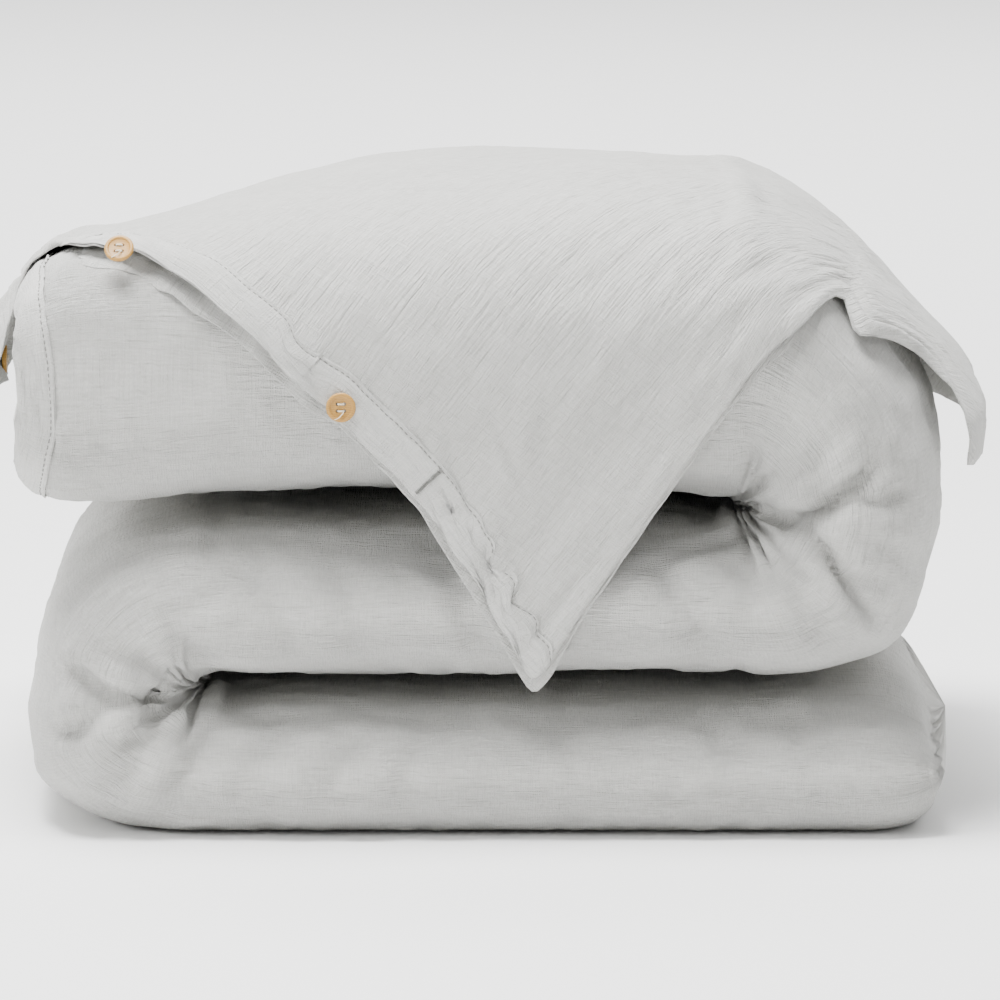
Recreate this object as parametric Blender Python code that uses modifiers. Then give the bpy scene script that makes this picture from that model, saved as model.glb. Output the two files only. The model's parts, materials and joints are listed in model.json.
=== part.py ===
"""Folded duvet: a filled comforter inside a buttoned gauze cover.

The duvet is folded in a zig-zag of three layers, and the empty buttoned end of its cover is turned
back over the top, with one corner hanging down the front.
Metres, +X right, +Y to the back, +Z up. The origin is the middle of the flat underside.
"""
import math

import bmesh
import bpy
import numpy as np
from mathutils import Matrix, Vector

# ---- driving dimensions -------------------------------------------------------------------------
LEFT_NOSE_X = -0.281        # outermost point of the left fold
RIGHT_NOSE_X = 0.278        # outermost point of the right fold
BOTTOM_END_X = 0.273        # closed end of the bottom layer
MOUTH_X = -0.291            # buttoned end of the top layer
DEPTH = 0.500               # front to back
BOTTOM_THICK = 0.092
REST_FLAT = 0.0015          # the underside is pressed flat up to this height
MIDDLE_THICK = 0.104
TOP_THICK = 0.150
LAYER_GAP = 0.004           # between two layers that lie on each other
TOP_CROWN = 0.034           # extra height in the middle of the top layer
END_ROUND = 0.055           # length over which the top layer rounds off at the mouth
CLOSED_END_ROUND = 0.044    # the same at the bottom layer's closed end
BOX_POWER = 3.0             # 2 is an ellipse, larger is boxier
TURNED_POWER = 4.5          # the same for the turned-back cover, which bridges the round edges

CLOTH = 0.0016              # double gauze with its seams and air
BAND_CLOTH = 0.0024         # a turned hem, three thicknesses
LIP_HALF = 0.0044           # half height of the closed mouth
BAND_WIDTH = 0.026          # width of every turned hem
CLEARANCE = 0.0003          # between pieces that touch

TURNED_GAP = 0.0015         # turned-back cover above the top layer
TURNED_CLOTH = 0.0030       # two plies of the turned-back cover
HINGE_DEPTH_SHARE = 0.78    # where the hanging corner starts, as a share of half the depth
OVERHANG_REACH = 0.024      # how far the turned-back cover stands out past the right fold
OVERHANG_DROP = 0.017       # its lower edge on both sides, below the top layer's middle
SIDE_STANDOFF = 0.0055      # inner face of the turned-back cover outside the mouth
BACK_EDGE_RISE = 0.013      # its lower edge at the back, above the upper fold

CORNER_STANDOFF = 0.0030    # back ply of the hanging corner in front of the layers
PLY_GAP = 0.0012            # between the corner's two plies
PLY_CLOTH = 0.0016
CORNER_BAND_CLOTH = 0.0012
TIP_DROP = 0.184            # lowest point of the hanging corner, below the top layer's middle
MOUTH_TO_TIP = 0.3155       # how far along from the mouth the corner's tip hangs
TIP_HALF_WIDTH = 0.002      # the tip is blunt
CORNER_RISE = 0.073         # from the top layer's middle up to where the corner leaves the top
TACK_DROP = 0.066           # the opening's end stitches, below the top layer's middle
UPPER_BUTTON_RISE = 0.063   # the button on the shoulder, above the top layer's middle
LOWER_BUTTON_DROP = 0.011   # the button below it, below the top layer's middle
PLY_INSET = 0.004           # the back ply is a little smaller

BUTTON_DIAMETER = 0.018
BUTTON_THICK = 0.0030
BUTTON_HOLE = 0.0020        # diameter of each of the four thread holes
HOLE_SPACING = 0.0042       # centre to centre
THREAD = 0.0010             # thread bundle's diameter
SHANK = 0.0011              # thread between the button and the cloth
BUTTON_PITCH = 0.155        # between buttons on the side band
UPPER_BUTTON_TILT = 24      # degrees that the button on the shoulder nods forward on its thread

TIE_RING = 0.0046           # corner ties and loops, middle radius
TIE_CORD = 0.0007           # and their cord's radius

RING_POINTS = 32
ARC_STEPS = 9
LAYER_STEPS = 9
SHEET_COLUMNS = 22

# ---- what follows from them ---------------------------------------------------------------------
HALF_DEPTH = DEPTH / 2
HALF_GAP = LAYER_GAP / 2
LOW_FOLD_Z = BOTTOM_THICK + HALF_GAP
HIGH_FOLD_Z = BOTTOM_THICK + LAYER_GAP + MIDDLE_THICK + HALF_GAP
BOTTOM_Z = BOTTOM_THICK / 2
TOP_Z = HIGH_FOLD_Z + HALF_GAP + TOP_THICK / 2
LEFT_FOLD_X = LEFT_NOSE_X + (BOTTOM_THICK + MIDDLE_THICK) / 2 + HALF_GAP
RIGHT_FOLD_X = RIGHT_NOSE_X - (MIDDLE_THICK + TOP_THICK) / 2 - HALF_GAP
RING_TURNS = [2 * math.pi * (index + 0.5) / RING_POINTS for index in range(RING_POINTS)]
HINGE_TURN = math.acos(HINGE_DEPTH_SHARE ** (TURNED_POWER / 2))
SHOULDER_TURNS = [turn for turn in RING_TURNS if turn < HINGE_TURN - 0.02]
INSERT_INSET = CLOTH + CLEARANCE + 0.0004
LIP_INSET = BAND_CLOTH + CLEARANCE + 0.0004
SHANK_RADIUS = HOLE_SPACING * 0.95
OVERHANG_X = RIGHT_NOSE_X + OVERHANG_REACH
OVERHANG_Z = TOP_Z - OVERHANG_DROP
SIDE_DROP_X = MOUTH_X - SIDE_STANDOFF
BACK_EDGE_Z = HIGH_FOLD_Z + BACK_EDGE_RISE
TIP_X = MOUTH_X + MOUTH_TO_TIP
TIP_Z = TOP_Z - TIP_DROP
CORNER_TOP = TOP_Z + CORNER_RISE
BACK_PLY_OFFSET = CORNER_STANDOFF
FRONT_PLY_OFFSET = BACK_PLY_OFFSET + PLY_CLOTH + PLY_GAP
BAND_OFFSET = FRONT_PLY_OFFSET + PLY_CLOTH + CLEARANCE + 0.0003


def blend(start, end, share):
    return start + (end - start) * share


def signed_power(value, power):
    return math.copysign(abs(value) ** power, value)


def shoulder(share):
    """Height factor of the turned-back cover at a share of the half depth: 0 at the edge."""
    return max(0.0, 1.0 - min(abs(share), 1.0) ** TURNED_POWER) ** (1 / TURNED_POWER)


def crown(x):
    """Extra height of the top layer: most in the middle, nothing at its two ends."""
    reach = (RIGHT_NOSE_X - MOUTH_X) / 2
    share = (x - (RIGHT_NOSE_X + MOUTH_X) / 2) / reach
    return TOP_CROWN * max(0.0, 1.0 - share * share)


# ---- the folded tube ----------------------------------------------------------------------------
def fold_stations():
    """Stations along the folded duvet, from the closed bottom end to the mouth.

    Each is (x, z, normal x, normal z, half thickness, how far in from the depth's edge, end), where
    end is 1 or -1 on a rounded end that faces +X or -X. The normal points up in the bottom layer.
    """
    stations = []
    half = BOTTOM_THICK / 2
    for turn in np.radians((84, 70, 54, 36, 18, 0)):
        x = BOTTOM_END_X - CLOSED_END_ROUND * (1 - math.sin(turn))
        inset = CLOSED_END_ROUND * 0.5 * (1 - math.cos(turn))
        stations.append((x, BOTTOM_Z, 0, 1, half * math.cos(turn), inset, 1))
    end_x = BOTTOM_END_X - CLOSED_END_ROUND
    for x in np.linspace(end_x, LEFT_FOLD_X, LAYER_STEPS)[1:-1]:
        stations.append((x, BOTTOM_Z, 0, 1, half, 0, 0))
    for share in np.linspace(0, 1, ARC_STEPS):
        turn = math.pi * share
        half = blend(BOTTOM_THICK, MIDDLE_THICK, share) / 2
        reach = half + HALF_GAP
        x = LEFT_FOLD_X - reach * math.sin(turn)
        z = LOW_FOLD_Z - reach * math.cos(turn)
        stations.append((x, z, math.sin(turn), math.cos(turn), half, 0, 0))
    z = LOW_FOLD_Z + HALF_GAP + MIDDLE_THICK / 2
    for x in np.linspace(LEFT_FOLD_X, RIGHT_FOLD_X, LAYER_STEPS)[1:-1]:
        stations.append((x, z, 0, -1, half, 0, 0))
    for share in np.linspace(0, 1, ARC_STEPS):
        turn = math.pi * share
        half = blend(MIDDLE_THICK, TOP_THICK, share) / 2
        reach = half + HALF_GAP
        x = RIGHT_FOLD_X + reach * math.sin(turn)
        z = HIGH_FOLD_Z - reach * math.cos(turn)
        stations.append((x, z, math.sin(turn), -math.cos(turn), half, 0, 0))
    mouth_start = MOUTH_X + END_ROUND
    for x in np.linspace(RIGHT_FOLD_X, mouth_start, LAYER_STEPS)[1:-1]:
        stations.append((x, TOP_Z, 0, 1, half, 0, 0))
    for turn in np.linspace(0, math.radians(90), 8):
        stations.append(mouth_station(turn))
    return stations


def mouth_station(turn):
    """A station on the rounded mouth end; turn goes from 0 to 90 degrees at the lips."""
    x = MOUTH_X + END_ROUND * (1 - math.sin(turn))
    half = blend(LIP_HALF, TOP_THICK / 2, math.cos(turn))
    return (x, TOP_Z, 0, 1, half, END_ROUND * 0.35 * (1 - math.cos(turn)), -1)


def ring(station, inset, turns=RING_TURNS, power=BOX_POWER):
    """One closed outline across the duvet, drawn inset from the cover's outer face."""
    x, z, normal_x, normal_z, half, depth_inset, end = station
    x -= end * inset
    half_depth = HALF_DEPTH - depth_inset - inset
    points = []
    for turn in turns:
        y = half_depth * signed_power(math.cos(turn), 2 / power)
        lift = max(half - inset, 0.0008) * signed_power(math.sin(turn), 2 / power)
        point = Vector((x + normal_x * lift, y, z + normal_z * lift))
        if point.z > TOP_Z:
            point.z += crown(point.x) * (point.z - TOP_Z) / (TOP_THICK / 2)
        if point.z < REST_FLAT:
            point.z = 0.0
        points.append(point)
    return points


def loft(name, rings, cap_start, cap_end):
    """Skin a row of closed rings, and cap the ends that are asked for."""
    mesh = bpy.data.meshes.new(name)
    work = bmesh.new()
    rows = [[work.verts.new(point) for point in points] for points in rings]
    count = len(rows[0])
    for row, after in zip(rows, rows[1:]):
        for index in range(count):
            other = (index + 1) % count
            work.faces.new((row[index], row[other], after[other], after[index]))
    if cap_start:
        work.faces.new(rows[0])
    if cap_end:
        work.faces.new(list(reversed(rows[-1])))
    bmesh.ops.recalc_face_normals(work, faces=work.faces)
    work.to_mesh(mesh)
    work.free()
    mesh.shade_smooth()
    return mesh


def turn_outward(mesh, inside):
    """Flip an open skin whose faces look towards a point that lies inside it."""
    side = 0.0
    for face in mesh.polygons:
        side += face.normal.dot(face.center - Vector(inside)) * face.area
    if side < 0:
        mesh.flip_normals()


def split_at_band(stations):
    """The cover's stations, and the band's, which end in the mouth's lips."""
    band_start = math.asin(1 - BAND_WIDTH / END_ROUND)
    body = [entry for entry in stations if entry[0] > MOUTH_X + BAND_WIDTH or entry[1] != TOP_Z]
    gap_turn = math.asin(1 - (BAND_WIDTH + 2 * CLEARANCE) / END_ROUND)
    body.append(mouth_station(gap_turn))
    band = [mouth_station(turn) for turn in np.linspace(band_start, math.radians(90), 7)]
    return body, band


def make_cover_body(parts):
    body, _ = split_at_band(fold_stations())
    mesh = loft("cover_body", [ring(entry, 0) for entry in body], True, False)
    turn_outward(mesh, (0, 0, BOTTOM_Z))
    cover = add_object("cover_body", mesh, parts, cloth_material("cover gauze"))
    add_thickness(cover, CLOTH, -1)


def make_buttonhole_band(parts):
    _, band = split_at_band(fold_stations())
    mesh = loft("buttonhole_band", [ring(entry, 0) for entry in band], False, False)
    turn_outward(mesh, (MOUTH_X + END_ROUND, 0, TOP_Z))
    piece = add_object("buttonhole_band", mesh, parts, cloth_material("band gauze"))
    add_thickness(piece, BAND_CLOTH, -1)


def make_insert(parts):
    """The comforter fills the cover, and stops where the mouth's lips close."""
    rings = []
    stations = fold_stations()
    for entry in stations[3:-2]:
        near_mouth = entry[6] == -1 and entry[0] < MOUTH_X + BAND_WIDTH * 1.4
        rings.append(ring(entry, LIP_INSET if near_mouth else INSERT_INSET))
    mesh = loft("comforter_insert", rings, True, True)
    add_object("comforter_insert", mesh, parts, filling_material())


# ---- the turned-back end of the cover -----------------------------------------------------------
def turned_stations():
    """Stations under the turned-back cover, right to left, each with how far out it hangs."""
    covered = []
    for entry in fold_stations():
        outer_z = entry[1] + entry[3] * entry[4]
        high_enough = entry[1] > HIGH_FOLD_Z and outer_z >= OVERHANG_Z
        if high_enough and entry[0] >= MOUTH_X + END_ROUND * 0.12:
            covered.append(entry)
    steepest = max(entry[2] for entry in covered)
    pairs = []
    for entry in covered:
        nose = entry[0] + entry[2] * entry[4]
        room = OVERHANG_X - TURNED_CLOTH - TURNED_GAP - nose
        lean = (max(0.0, entry[2]) / steepest) ** 2
        pairs.append((entry, room * lean))
    return pairs


def turned_rows():
    """Points of the turned-back cover: one row for each station, from the front to the back."""
    back_turns = [turn for turn in RING_TURNS if turn < math.pi - HINGE_TURN - 0.02]
    turns = [math.pi - HINGE_TURN] + list(reversed(back_turns)) + [0.0]
    rows = []
    for entry, overhang in turned_stations():
        row = ring(entry, -TURNED_GAP, turns, TURNED_POWER)
        for point, turn in zip(row, turns):
            point.x += overhang * signed_power(math.sin(turn), 2 / TURNED_POWER)
        rows.append(row)
    for height in (TOP_Z, OVERHANG_Z):
        row = []
        for point in rows[-1]:
            row.append(Vector((SIDE_DROP_X - TURNED_GAP, point.y, height)))
        rows.append(row)
    for row in rows:
        edge = row[-1].copy()
        for share in (0.4, 0.75, 1.0):
            row.append(Vector((edge.x, edge.y, blend(edge.z, BACK_EDGE_Z, share))))
    return rows


def sheet(name, rows, thickness, parts, material, even=True):
    """A cloth sheet: a grid of points skinned once, then thickened away from the duvet."""
    mesh = bpy.data.meshes.new(name)
    work = bmesh.new()
    grid = [[work.verts.new(point) for point in row] for row in rows]
    for row, after in zip(grid, grid[1:]):
        for index in range(len(row) - 1):
            work.faces.new((row[index], row[index + 1], after[index + 1], after[index]))
    bmesh.ops.recalc_face_normals(work, faces=work.faces)
    work.to_mesh(mesh)
    work.free()
    mesh.shade_smooth()
    turn_outward(mesh, (0, 0, LOW_FOLD_Z))
    piece = add_object(name, mesh, parts, material)
    add_thickness(piece, thickness, 1, even)
    return piece


def make_turned_top(parts):
    sheet("turned_back_top", turned_rows(), TURNED_CLOTH, parts, cloth_material("cover gauze"),
          even=False)


# ---- the hanging corner -------------------------------------------------------------------------
# Each edge bends at these points: how far from the tip, and how far above the top layer's middle.
HEM_BENDS = ((-TIP_HALF_WIDTH, -TIP_DROP), (-0.0225, -0.151), (-0.0715, -0.071), (-0.1185, -0.021),
             (-0.1735, 0.030), (-0.2145, 0.051), (-0.2625, 0.063), (-0.2865, CORNER_RISE))
SIDE_BENDS = ((TIP_HALF_WIDTH, -TIP_DROP), (0.0655, -0.089), (0.1135, -0.021), (0.1415, 0.017),
              (0.1675, 0.037), (0.1905, CORNER_RISE))


def edge_x(bends, height):
    """Where an edge of the hanging corner is at a height."""
    distances, rises = zip(*bends)
    return TIP_X + float(np.interp(height - TOP_Z, rises, distances))


def corner_span(height, inset):
    """Left and right edges of the hanging corner at a height, drawn in by an inset."""
    left = edge_x(HEM_BENDS, height) + inset
    right = edge_x(SIDE_BENDS, height) - inset
    if right - left < 0.003:
        middle = (left + right) / 2
        return middle - 0.0015, middle + 0.0015
    return left, right


def corner_row(height, offset, left, right, columns):
    """A level row of points across the hanging corner, at a height or up on the shoulder."""
    half_depth = HALF_DEPTH + offset
    row = []
    for x in np.linspace(left, right, columns):
        if height <= TOP_Z:
            row.append(Vector((x, -half_depth, height)))
            continue
        share_up = (height - TOP_Z) / (CORNER_TOP - TOP_Z) * shoulder(HINGE_DEPTH_SHARE)
        depth_share = shoulder(share_up)
        lift = (layer_half(x) + crown(x) + offset) * share_up
        row.append(Vector((x, -half_depth * depth_share, TOP_Z + lift)))
    return row


def layer_half(x):
    """Height of the top layer's outer face over its middle plane, down over the right fold."""
    if x <= RIGHT_FOLD_X:
        return TOP_THICK / 2
    reach = TOP_THICK + HALF_GAP
    return HIGH_FOLD_Z + math.sqrt(reach ** 2 - (x - RIGHT_FOLD_X) ** 2) - TOP_Z


def corner_heights(offset):
    """Levels of the corner's rows: down the front, then up the shoulder to the turned-back top."""
    low = list(np.linspace(TIP_Z, TOP_Z, 10))
    limit = shoulder(HINGE_DEPTH_SHARE)
    edge_y = (HALF_DEPTH + TURNED_GAP) * HINGE_DEPTH_SHARE + 3 * CLEARANCE
    last = shoulder(edge_y / (HALF_DEPTH + offset))
    high = []
    for turn in SHOULDER_TURNS:
        share_up = math.sin(turn) ** (2 / TURNED_POWER)
        high.append(blend(TOP_Z, CORNER_TOP, share_up / limit))
    return low + high + [blend(TOP_Z, CORNER_TOP, last / limit)]


def make_corner_ply(name, offset, inset, parts):
    rows = []
    for height in corner_heights(offset):
        left, right = corner_span(height, inset)
        if height == TIP_Z:
            height = height + inset
        rows.append(corner_row(height, offset, left, right, SHEET_COLUMNS))
    sheet(name, rows, PLY_CLOTH, parts, cloth_material("cover gauze"))


def make_corner_band(parts):
    """The turned hem that carries the buttons, along the corner's left edge."""
    rows = []
    for height in corner_heights(BAND_OFFSET)[1:]:
        left, right = corner_span(height, 0.0)
        right = min(right - 0.002, left + BAND_WIDTH * 1.15)
        rows.append(corner_row(height, BAND_OFFSET, left, right, 4))
    sheet("corner_button_band", rows, CORNER_BAND_CLOTH, parts, cloth_material("band gauze"))


def make_side_band(parts):
    """The same hem where it carries on over the mouth end, flat against the turned-back cover."""
    x = SIDE_DROP_X - TURNED_GAP - TURNED_CLOTH - CLEARANCE - CORNER_BAND_CLOTH / 2
    reach = HINGE_DEPTH_SHARE * HALF_DEPTH - 0.004
    mesh = box_mesh("side_button_band", (CORNER_BAND_CLOTH, 2 * reach, BAND_WIDTH))
    piece = add_object("side_button_band", mesh, parts, cloth_material("band gauze"))
    piece.location = (x, 0, OVERHANG_Z + BAND_WIDTH / 2)
    edge = piece.modifiers.new("soft edge", "BEVEL")
    edge.width = CORNER_BAND_CLOTH * 0.3
    edge.segments = 1
    return x - CORNER_BAND_CLOTH / 2


def make_bar_tack(parts):
    """The dense stitches where the opening ends, across the button band."""
    height = TOP_Z - TACK_DROP
    left, _ = corner_span(height, 0)
    y = -(HALF_DEPTH + BAND_OFFSET + CORNER_BAND_CLOTH + CLEARANCE + 0.0007)
    mesh = box_mesh("corner_bar_tack", (BAND_WIDTH * 0.8, 0.0010, 0.0018))
    piece = add_object("corner_bar_tack", mesh, parts, thread_material())
    piece.location = (left + BAND_WIDTH * 0.55, y, height)
    piece.rotation_euler = (0, math.radians(-32), 0)


# ---- buttons ------------------------------------------------------------------------------------
def button_mesh():
    """A turned disc with a raised rim and a shallow dish; its back lies at z = 0."""
    radius = BUTTON_DIAMETER / 2
    rim = radius - 0.0016
    profile = [(0, BUTTON_THICK - 0.0007), (rim - 0.0008, BUTTON_THICK - 0.0007),
               (rim, BUTTON_THICK - 0.0001), (radius - 0.0007, BUTTON_THICK),
               (radius, BUTTON_THICK - 0.0009), (radius, 0.0010), (radius - 0.0008, 0), (0, 0)]
    mesh = bpy.data.meshes.new("button profile")
    edges = [(index, index + 1) for index in range(len(profile) - 1)]
    mesh.from_pydata([(r, 0, z) for r, z in profile], edges, [])
    return mesh


def add_button(number, frame, shank, parts, cutters):
    """A four-hole button whose parent empty stands on its turning axis."""
    holder = bpy.data.objects.new(f"button_{number}_axis", None)
    holder.matrix_world = frame
    parts.objects.link(holder)
    button = add_object(f"button_{number}", button_mesh(), parts, wood_material())
    button.parent = holder
    turned = button.modifiers.new("turned", "SCREW")
    turned.steps = 24
    turned.render_steps = 24
    turned.merge_threshold = 0.00005
    turned.use_merge_vertices = True
    turned.use_smooth_shade = False
    for index in range(4):
        angle = math.pi / 4 + index * math.pi / 2
        reach = HOLE_SPACING / math.sqrt(2)
        cutter = add_cylinder(f"button_{number}_drill_{index + 1}", BUTTON_HOLE / 2,
                              BUTTON_THICK * 3, 10, cutters)
        cutter.parent = holder
        cutter.location = (reach * math.cos(angle), reach * math.sin(angle), BUTTON_THICK / 2)
        cut = button.modifiers.new("thread hole", "BOOLEAN")
        cut.operation = "DIFFERENCE"
        cut.object = cutter
    add_thread(number, holder, shank, parts, cutters)


def add_thread(number, holder, shank_length, parts, cutters):
    """Two stitches through the holes, gathered in a short shank behind the button."""
    shank = add_cylinder(f"button_thread_{number}", SHANK_RADIUS, shank_length - 2 * CLEARANCE,
                         12, parts)
    shank.data.materials.append(thread_material())
    shank.parent = holder
    shank.location = (0, 0, -shank_length / 2)
    half = HOLE_SPACING / 2
    top = BUTTON_THICK - 0.0007 + CLEARANCE + THREAD * 0.55
    shapes = []
    for side in (-half, half):
        bar = add_cylinder(f"stitch_{number}_{len(shapes)}", THREAD * 0.55,
                           HOLE_SPACING + THREAD * 1.3, 9, cutters)
        bar.rotation_euler = (0, math.pi / 2, 0)
        bar.location = (0, side, top)
        shapes.append(bar)
        for along in (-half, half):
            bottom = -shank_length / 2
            leg = add_cylinder(f"stitch_{number}_{len(shapes)}", THREAD / 2, top - bottom,
                               8, cutters)
            leg.location = (along, side, (top + bottom) / 2)
            shapes.append(leg)
    for shape in shapes:
        shape.parent = holder
        join = shank.modifiers.new("stitch", "BOOLEAN")
        join.operation = "UNION"
        join.object = shape


def facing(point, normal, up):
    """A frame at a point whose z axis is the normal and whose y axis is nearest to up."""
    z_axis = Vector(normal).normalized()
    x_axis = Vector(up).cross(z_axis).normalized()
    y_axis = z_axis.cross(x_axis)
    turn = Matrix((x_axis, y_axis, z_axis)).transposed().to_4x4()
    return Matrix.Translation(point) @ turn


def corner_button_frame(height, tilt):
    """Where a button sits on the corner's band: in its middle, nodding forward by a tilt."""
    left, _ = corner_span(height, 0)
    offset = BAND_OFFSET + CORNER_BAND_CLOTH
    x = left + BAND_WIDTH * 0.5
    step = 0.003
    here = corner_row(height, offset, x, x + step, 2)
    above = corner_row(height + step, offset, x, x, 2)
    normal = (here[1] - here[0]).cross(above[0] - here[0]).normalized()
    room = math.sin(math.radians(tilt)) * BUTTON_DIAMETER / 2
    point = here[0] + normal * (SHANK + CLEARANCE + room)
    axis = (here[1] - here[0]).normalized()
    nodding = Matrix.Rotation(math.radians(tilt), 3, axis) @ normal
    return facing(point, nodding, (0, 0, 1))


def make_buttons(side_face_x, parts, cutters):
    nod = math.sin(math.radians(UPPER_BUTTON_TILT))
    slack = nod * (BUTTON_DIAMETER / 2 - SHANK_RADIUS * 0.3)
    upper = corner_button_frame(TOP_Z + UPPER_BUTTON_RISE, UPPER_BUTTON_TILT)
    add_button(1, upper, SHANK + slack, parts, cutters)
    add_button(2, corner_button_frame(TOP_Z - LOWER_BUTTON_DROP, 0), SHANK, parts, cutters)
    x = side_face_x - SHANK - CLEARANCE
    for number, y in ((3, -BUTTON_PITCH / 2), (4, BUTTON_PITCH / 2)):
        point = Vector((x, y, OVERHANG_Z + BAND_WIDTH / 2))
        add_button(number, facing(point, (-1, 0, 0), (0, 0, 1)), SHANK, parts, cutters)


# ---- corner ties --------------------------------------------------------------------------------
def make_ties(parts):
    """Inside the closed end, a cord ring on each cover corner is linked to one on the comforter."""
    wall = BOTTOM_END_X - CLOSED_END_ROUND * (1 - math.sin(math.radians(84))) - CLOTH
    for number, side in ((1, -1), (2, 1)):
        y = side * HALF_DEPTH * 0.5
        outer = TIE_RING + TIE_CORD
        tie_x = wall - outer - CLEARANCE
        loop_x = tie_x - 2 * (TIE_RING - TIE_CORD - CLEARANCE)
        add_ring(f"corner_tie_{number}", (tie_x, y, BOTTOM_Z), (math.pi / 2, 0, 0), parts)
        add_ring(f"insert_loop_{number}", (loop_x, y, BOTTOM_Z), (0, 0, 0), parts)


def add_ring(name, place, turn, parts):
    mesh = bpy.data.meshes.new(name)
    work = bmesh.new()
    steps, sides = 14, 6
    rows = []
    for step in range(steps):
        around = 2 * math.pi * step / steps
        row = []
        for side in range(sides):
            angle = 2 * math.pi * side / sides
            reach = TIE_RING + TIE_CORD * math.cos(angle)
            row.append(work.verts.new((reach * math.cos(around), reach * math.sin(around),
                                       TIE_CORD * math.sin(angle))))
        rows.append(row)
    for step in range(steps):
        after = rows[(step + 1) % steps]
        for side in range(sides):
            other = (side + 1) % sides
            work.faces.new((rows[step][side], after[side], after[other], rows[step][other]))
    bmesh.ops.recalc_face_normals(work, faces=work.faces)
    work.to_mesh(mesh)
    work.free()
    piece = add_object(name, mesh, parts, thread_material())
    piece.location = place
    piece.rotation_euler = turn


# ---- small helpers and materials ----------------------------------------------------------------
def add_object(name, mesh, parts, material):
    piece = bpy.data.objects.new(name, mesh)
    parts.objects.link(piece)
    mesh.materials.append(material)
    return piece


def add_thickness(piece, thickness, side, even=True):
    shell = piece.modifiers.new("cloth thickness", "SOLIDIFY")
    shell.thickness = thickness
    shell.offset = side
    shell.use_even_offset = even


def add_cylinder(name, radius, length, sides, collection):
    mesh = bpy.data.meshes.new(name)
    work = bmesh.new()
    bmesh.ops.create_cone(work, cap_ends=True, segments=sides, radius1=radius, radius2=radius,
                          depth=length)
    work.to_mesh(mesh)
    work.free()
    piece = bpy.data.objects.new(name, mesh)
    collection.objects.link(piece)
    if collection.name.endswith("cutters"):
        piece.hide_render = True
        piece.display_type = "WIRE"
    return piece


def box_mesh(name, size):
    mesh = bpy.data.meshes.new(name)
    work = bmesh.new()
    bmesh.ops.create_cube(work, size=1)
    bmesh.ops.scale(work, vec=size, verts=work.verts)
    work.to_mesh(mesh)
    work.free()
    return mesh


def plain_material(name, colour, roughness):
    material = bpy.data.materials.get(name)
    if material is None:
        material = bpy.data.materials.new(name)
        material.use_nodes = True
        shader = material.node_tree.nodes["Principled BSDF"]
        shader.inputs["Base Color"].default_value = (*colour, 1)
        shader.inputs["Roughness"].default_value = roughness
        shader.inputs["Metallic"].default_value = 0
    return material


def cloth_material(name):
    return plain_material(name, (0.56, 0.56, 0.53), 0.92)


def filling_material():
    return plain_material("comforter shell", (0.86, 0.86, 0.84), 0.85)


def wood_material():
    return plain_material("light wood", (0.72, 0.50, 0.22), 0.45)


def thread_material():
    return plain_material("cream thread", (0.80, 0.76, 0.64), 0.8)


def main():
    for piece in list(bpy.data.objects):
        bpy.data.objects.remove(piece, do_unlink=True)
    parts = bpy.data.collections.new("folded duvet")
    cutters = bpy.data.collections.new("duvet cutters")
    bpy.context.scene.collection.children.link(parts)
    bpy.context.scene.collection.children.link(cutters)
    make_cover_body(parts)
    make_buttonhole_band(parts)
    make_insert(parts)
    make_ties(parts)
    make_turned_top(parts)
    make_corner_ply("corner_back_ply", BACK_PLY_OFFSET, PLY_INSET, parts)
    make_corner_ply("corner_front_ply", FRONT_PLY_OFFSET, 0.0, parts)
    make_corner_band(parts)
    make_bar_tack(parts)
    side_face_x = make_side_band(parts)
    make_buttons(side_face_x, parts, cutters)


main()
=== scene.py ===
# %% [markdown]
# # A folded duvet in a crinkled gauze cover
# The duvet is a soft thing, so its frame only says where the cloth is: three thick layers in a
# zig-zag, an empty end of the cover turned back over them, and one corner hanging down the front.
# Each cloth starts as a grid that follows the frame, is given a little more cloth than it needs,
# and is then left to a cloth simulation, which is what makes folds look like folds.

# %% Load the frame
import json
import math

import bpy
import numpy as np
from mathutils import Matrix, Vector
from mathutils.bvhtree import BVHTree


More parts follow.
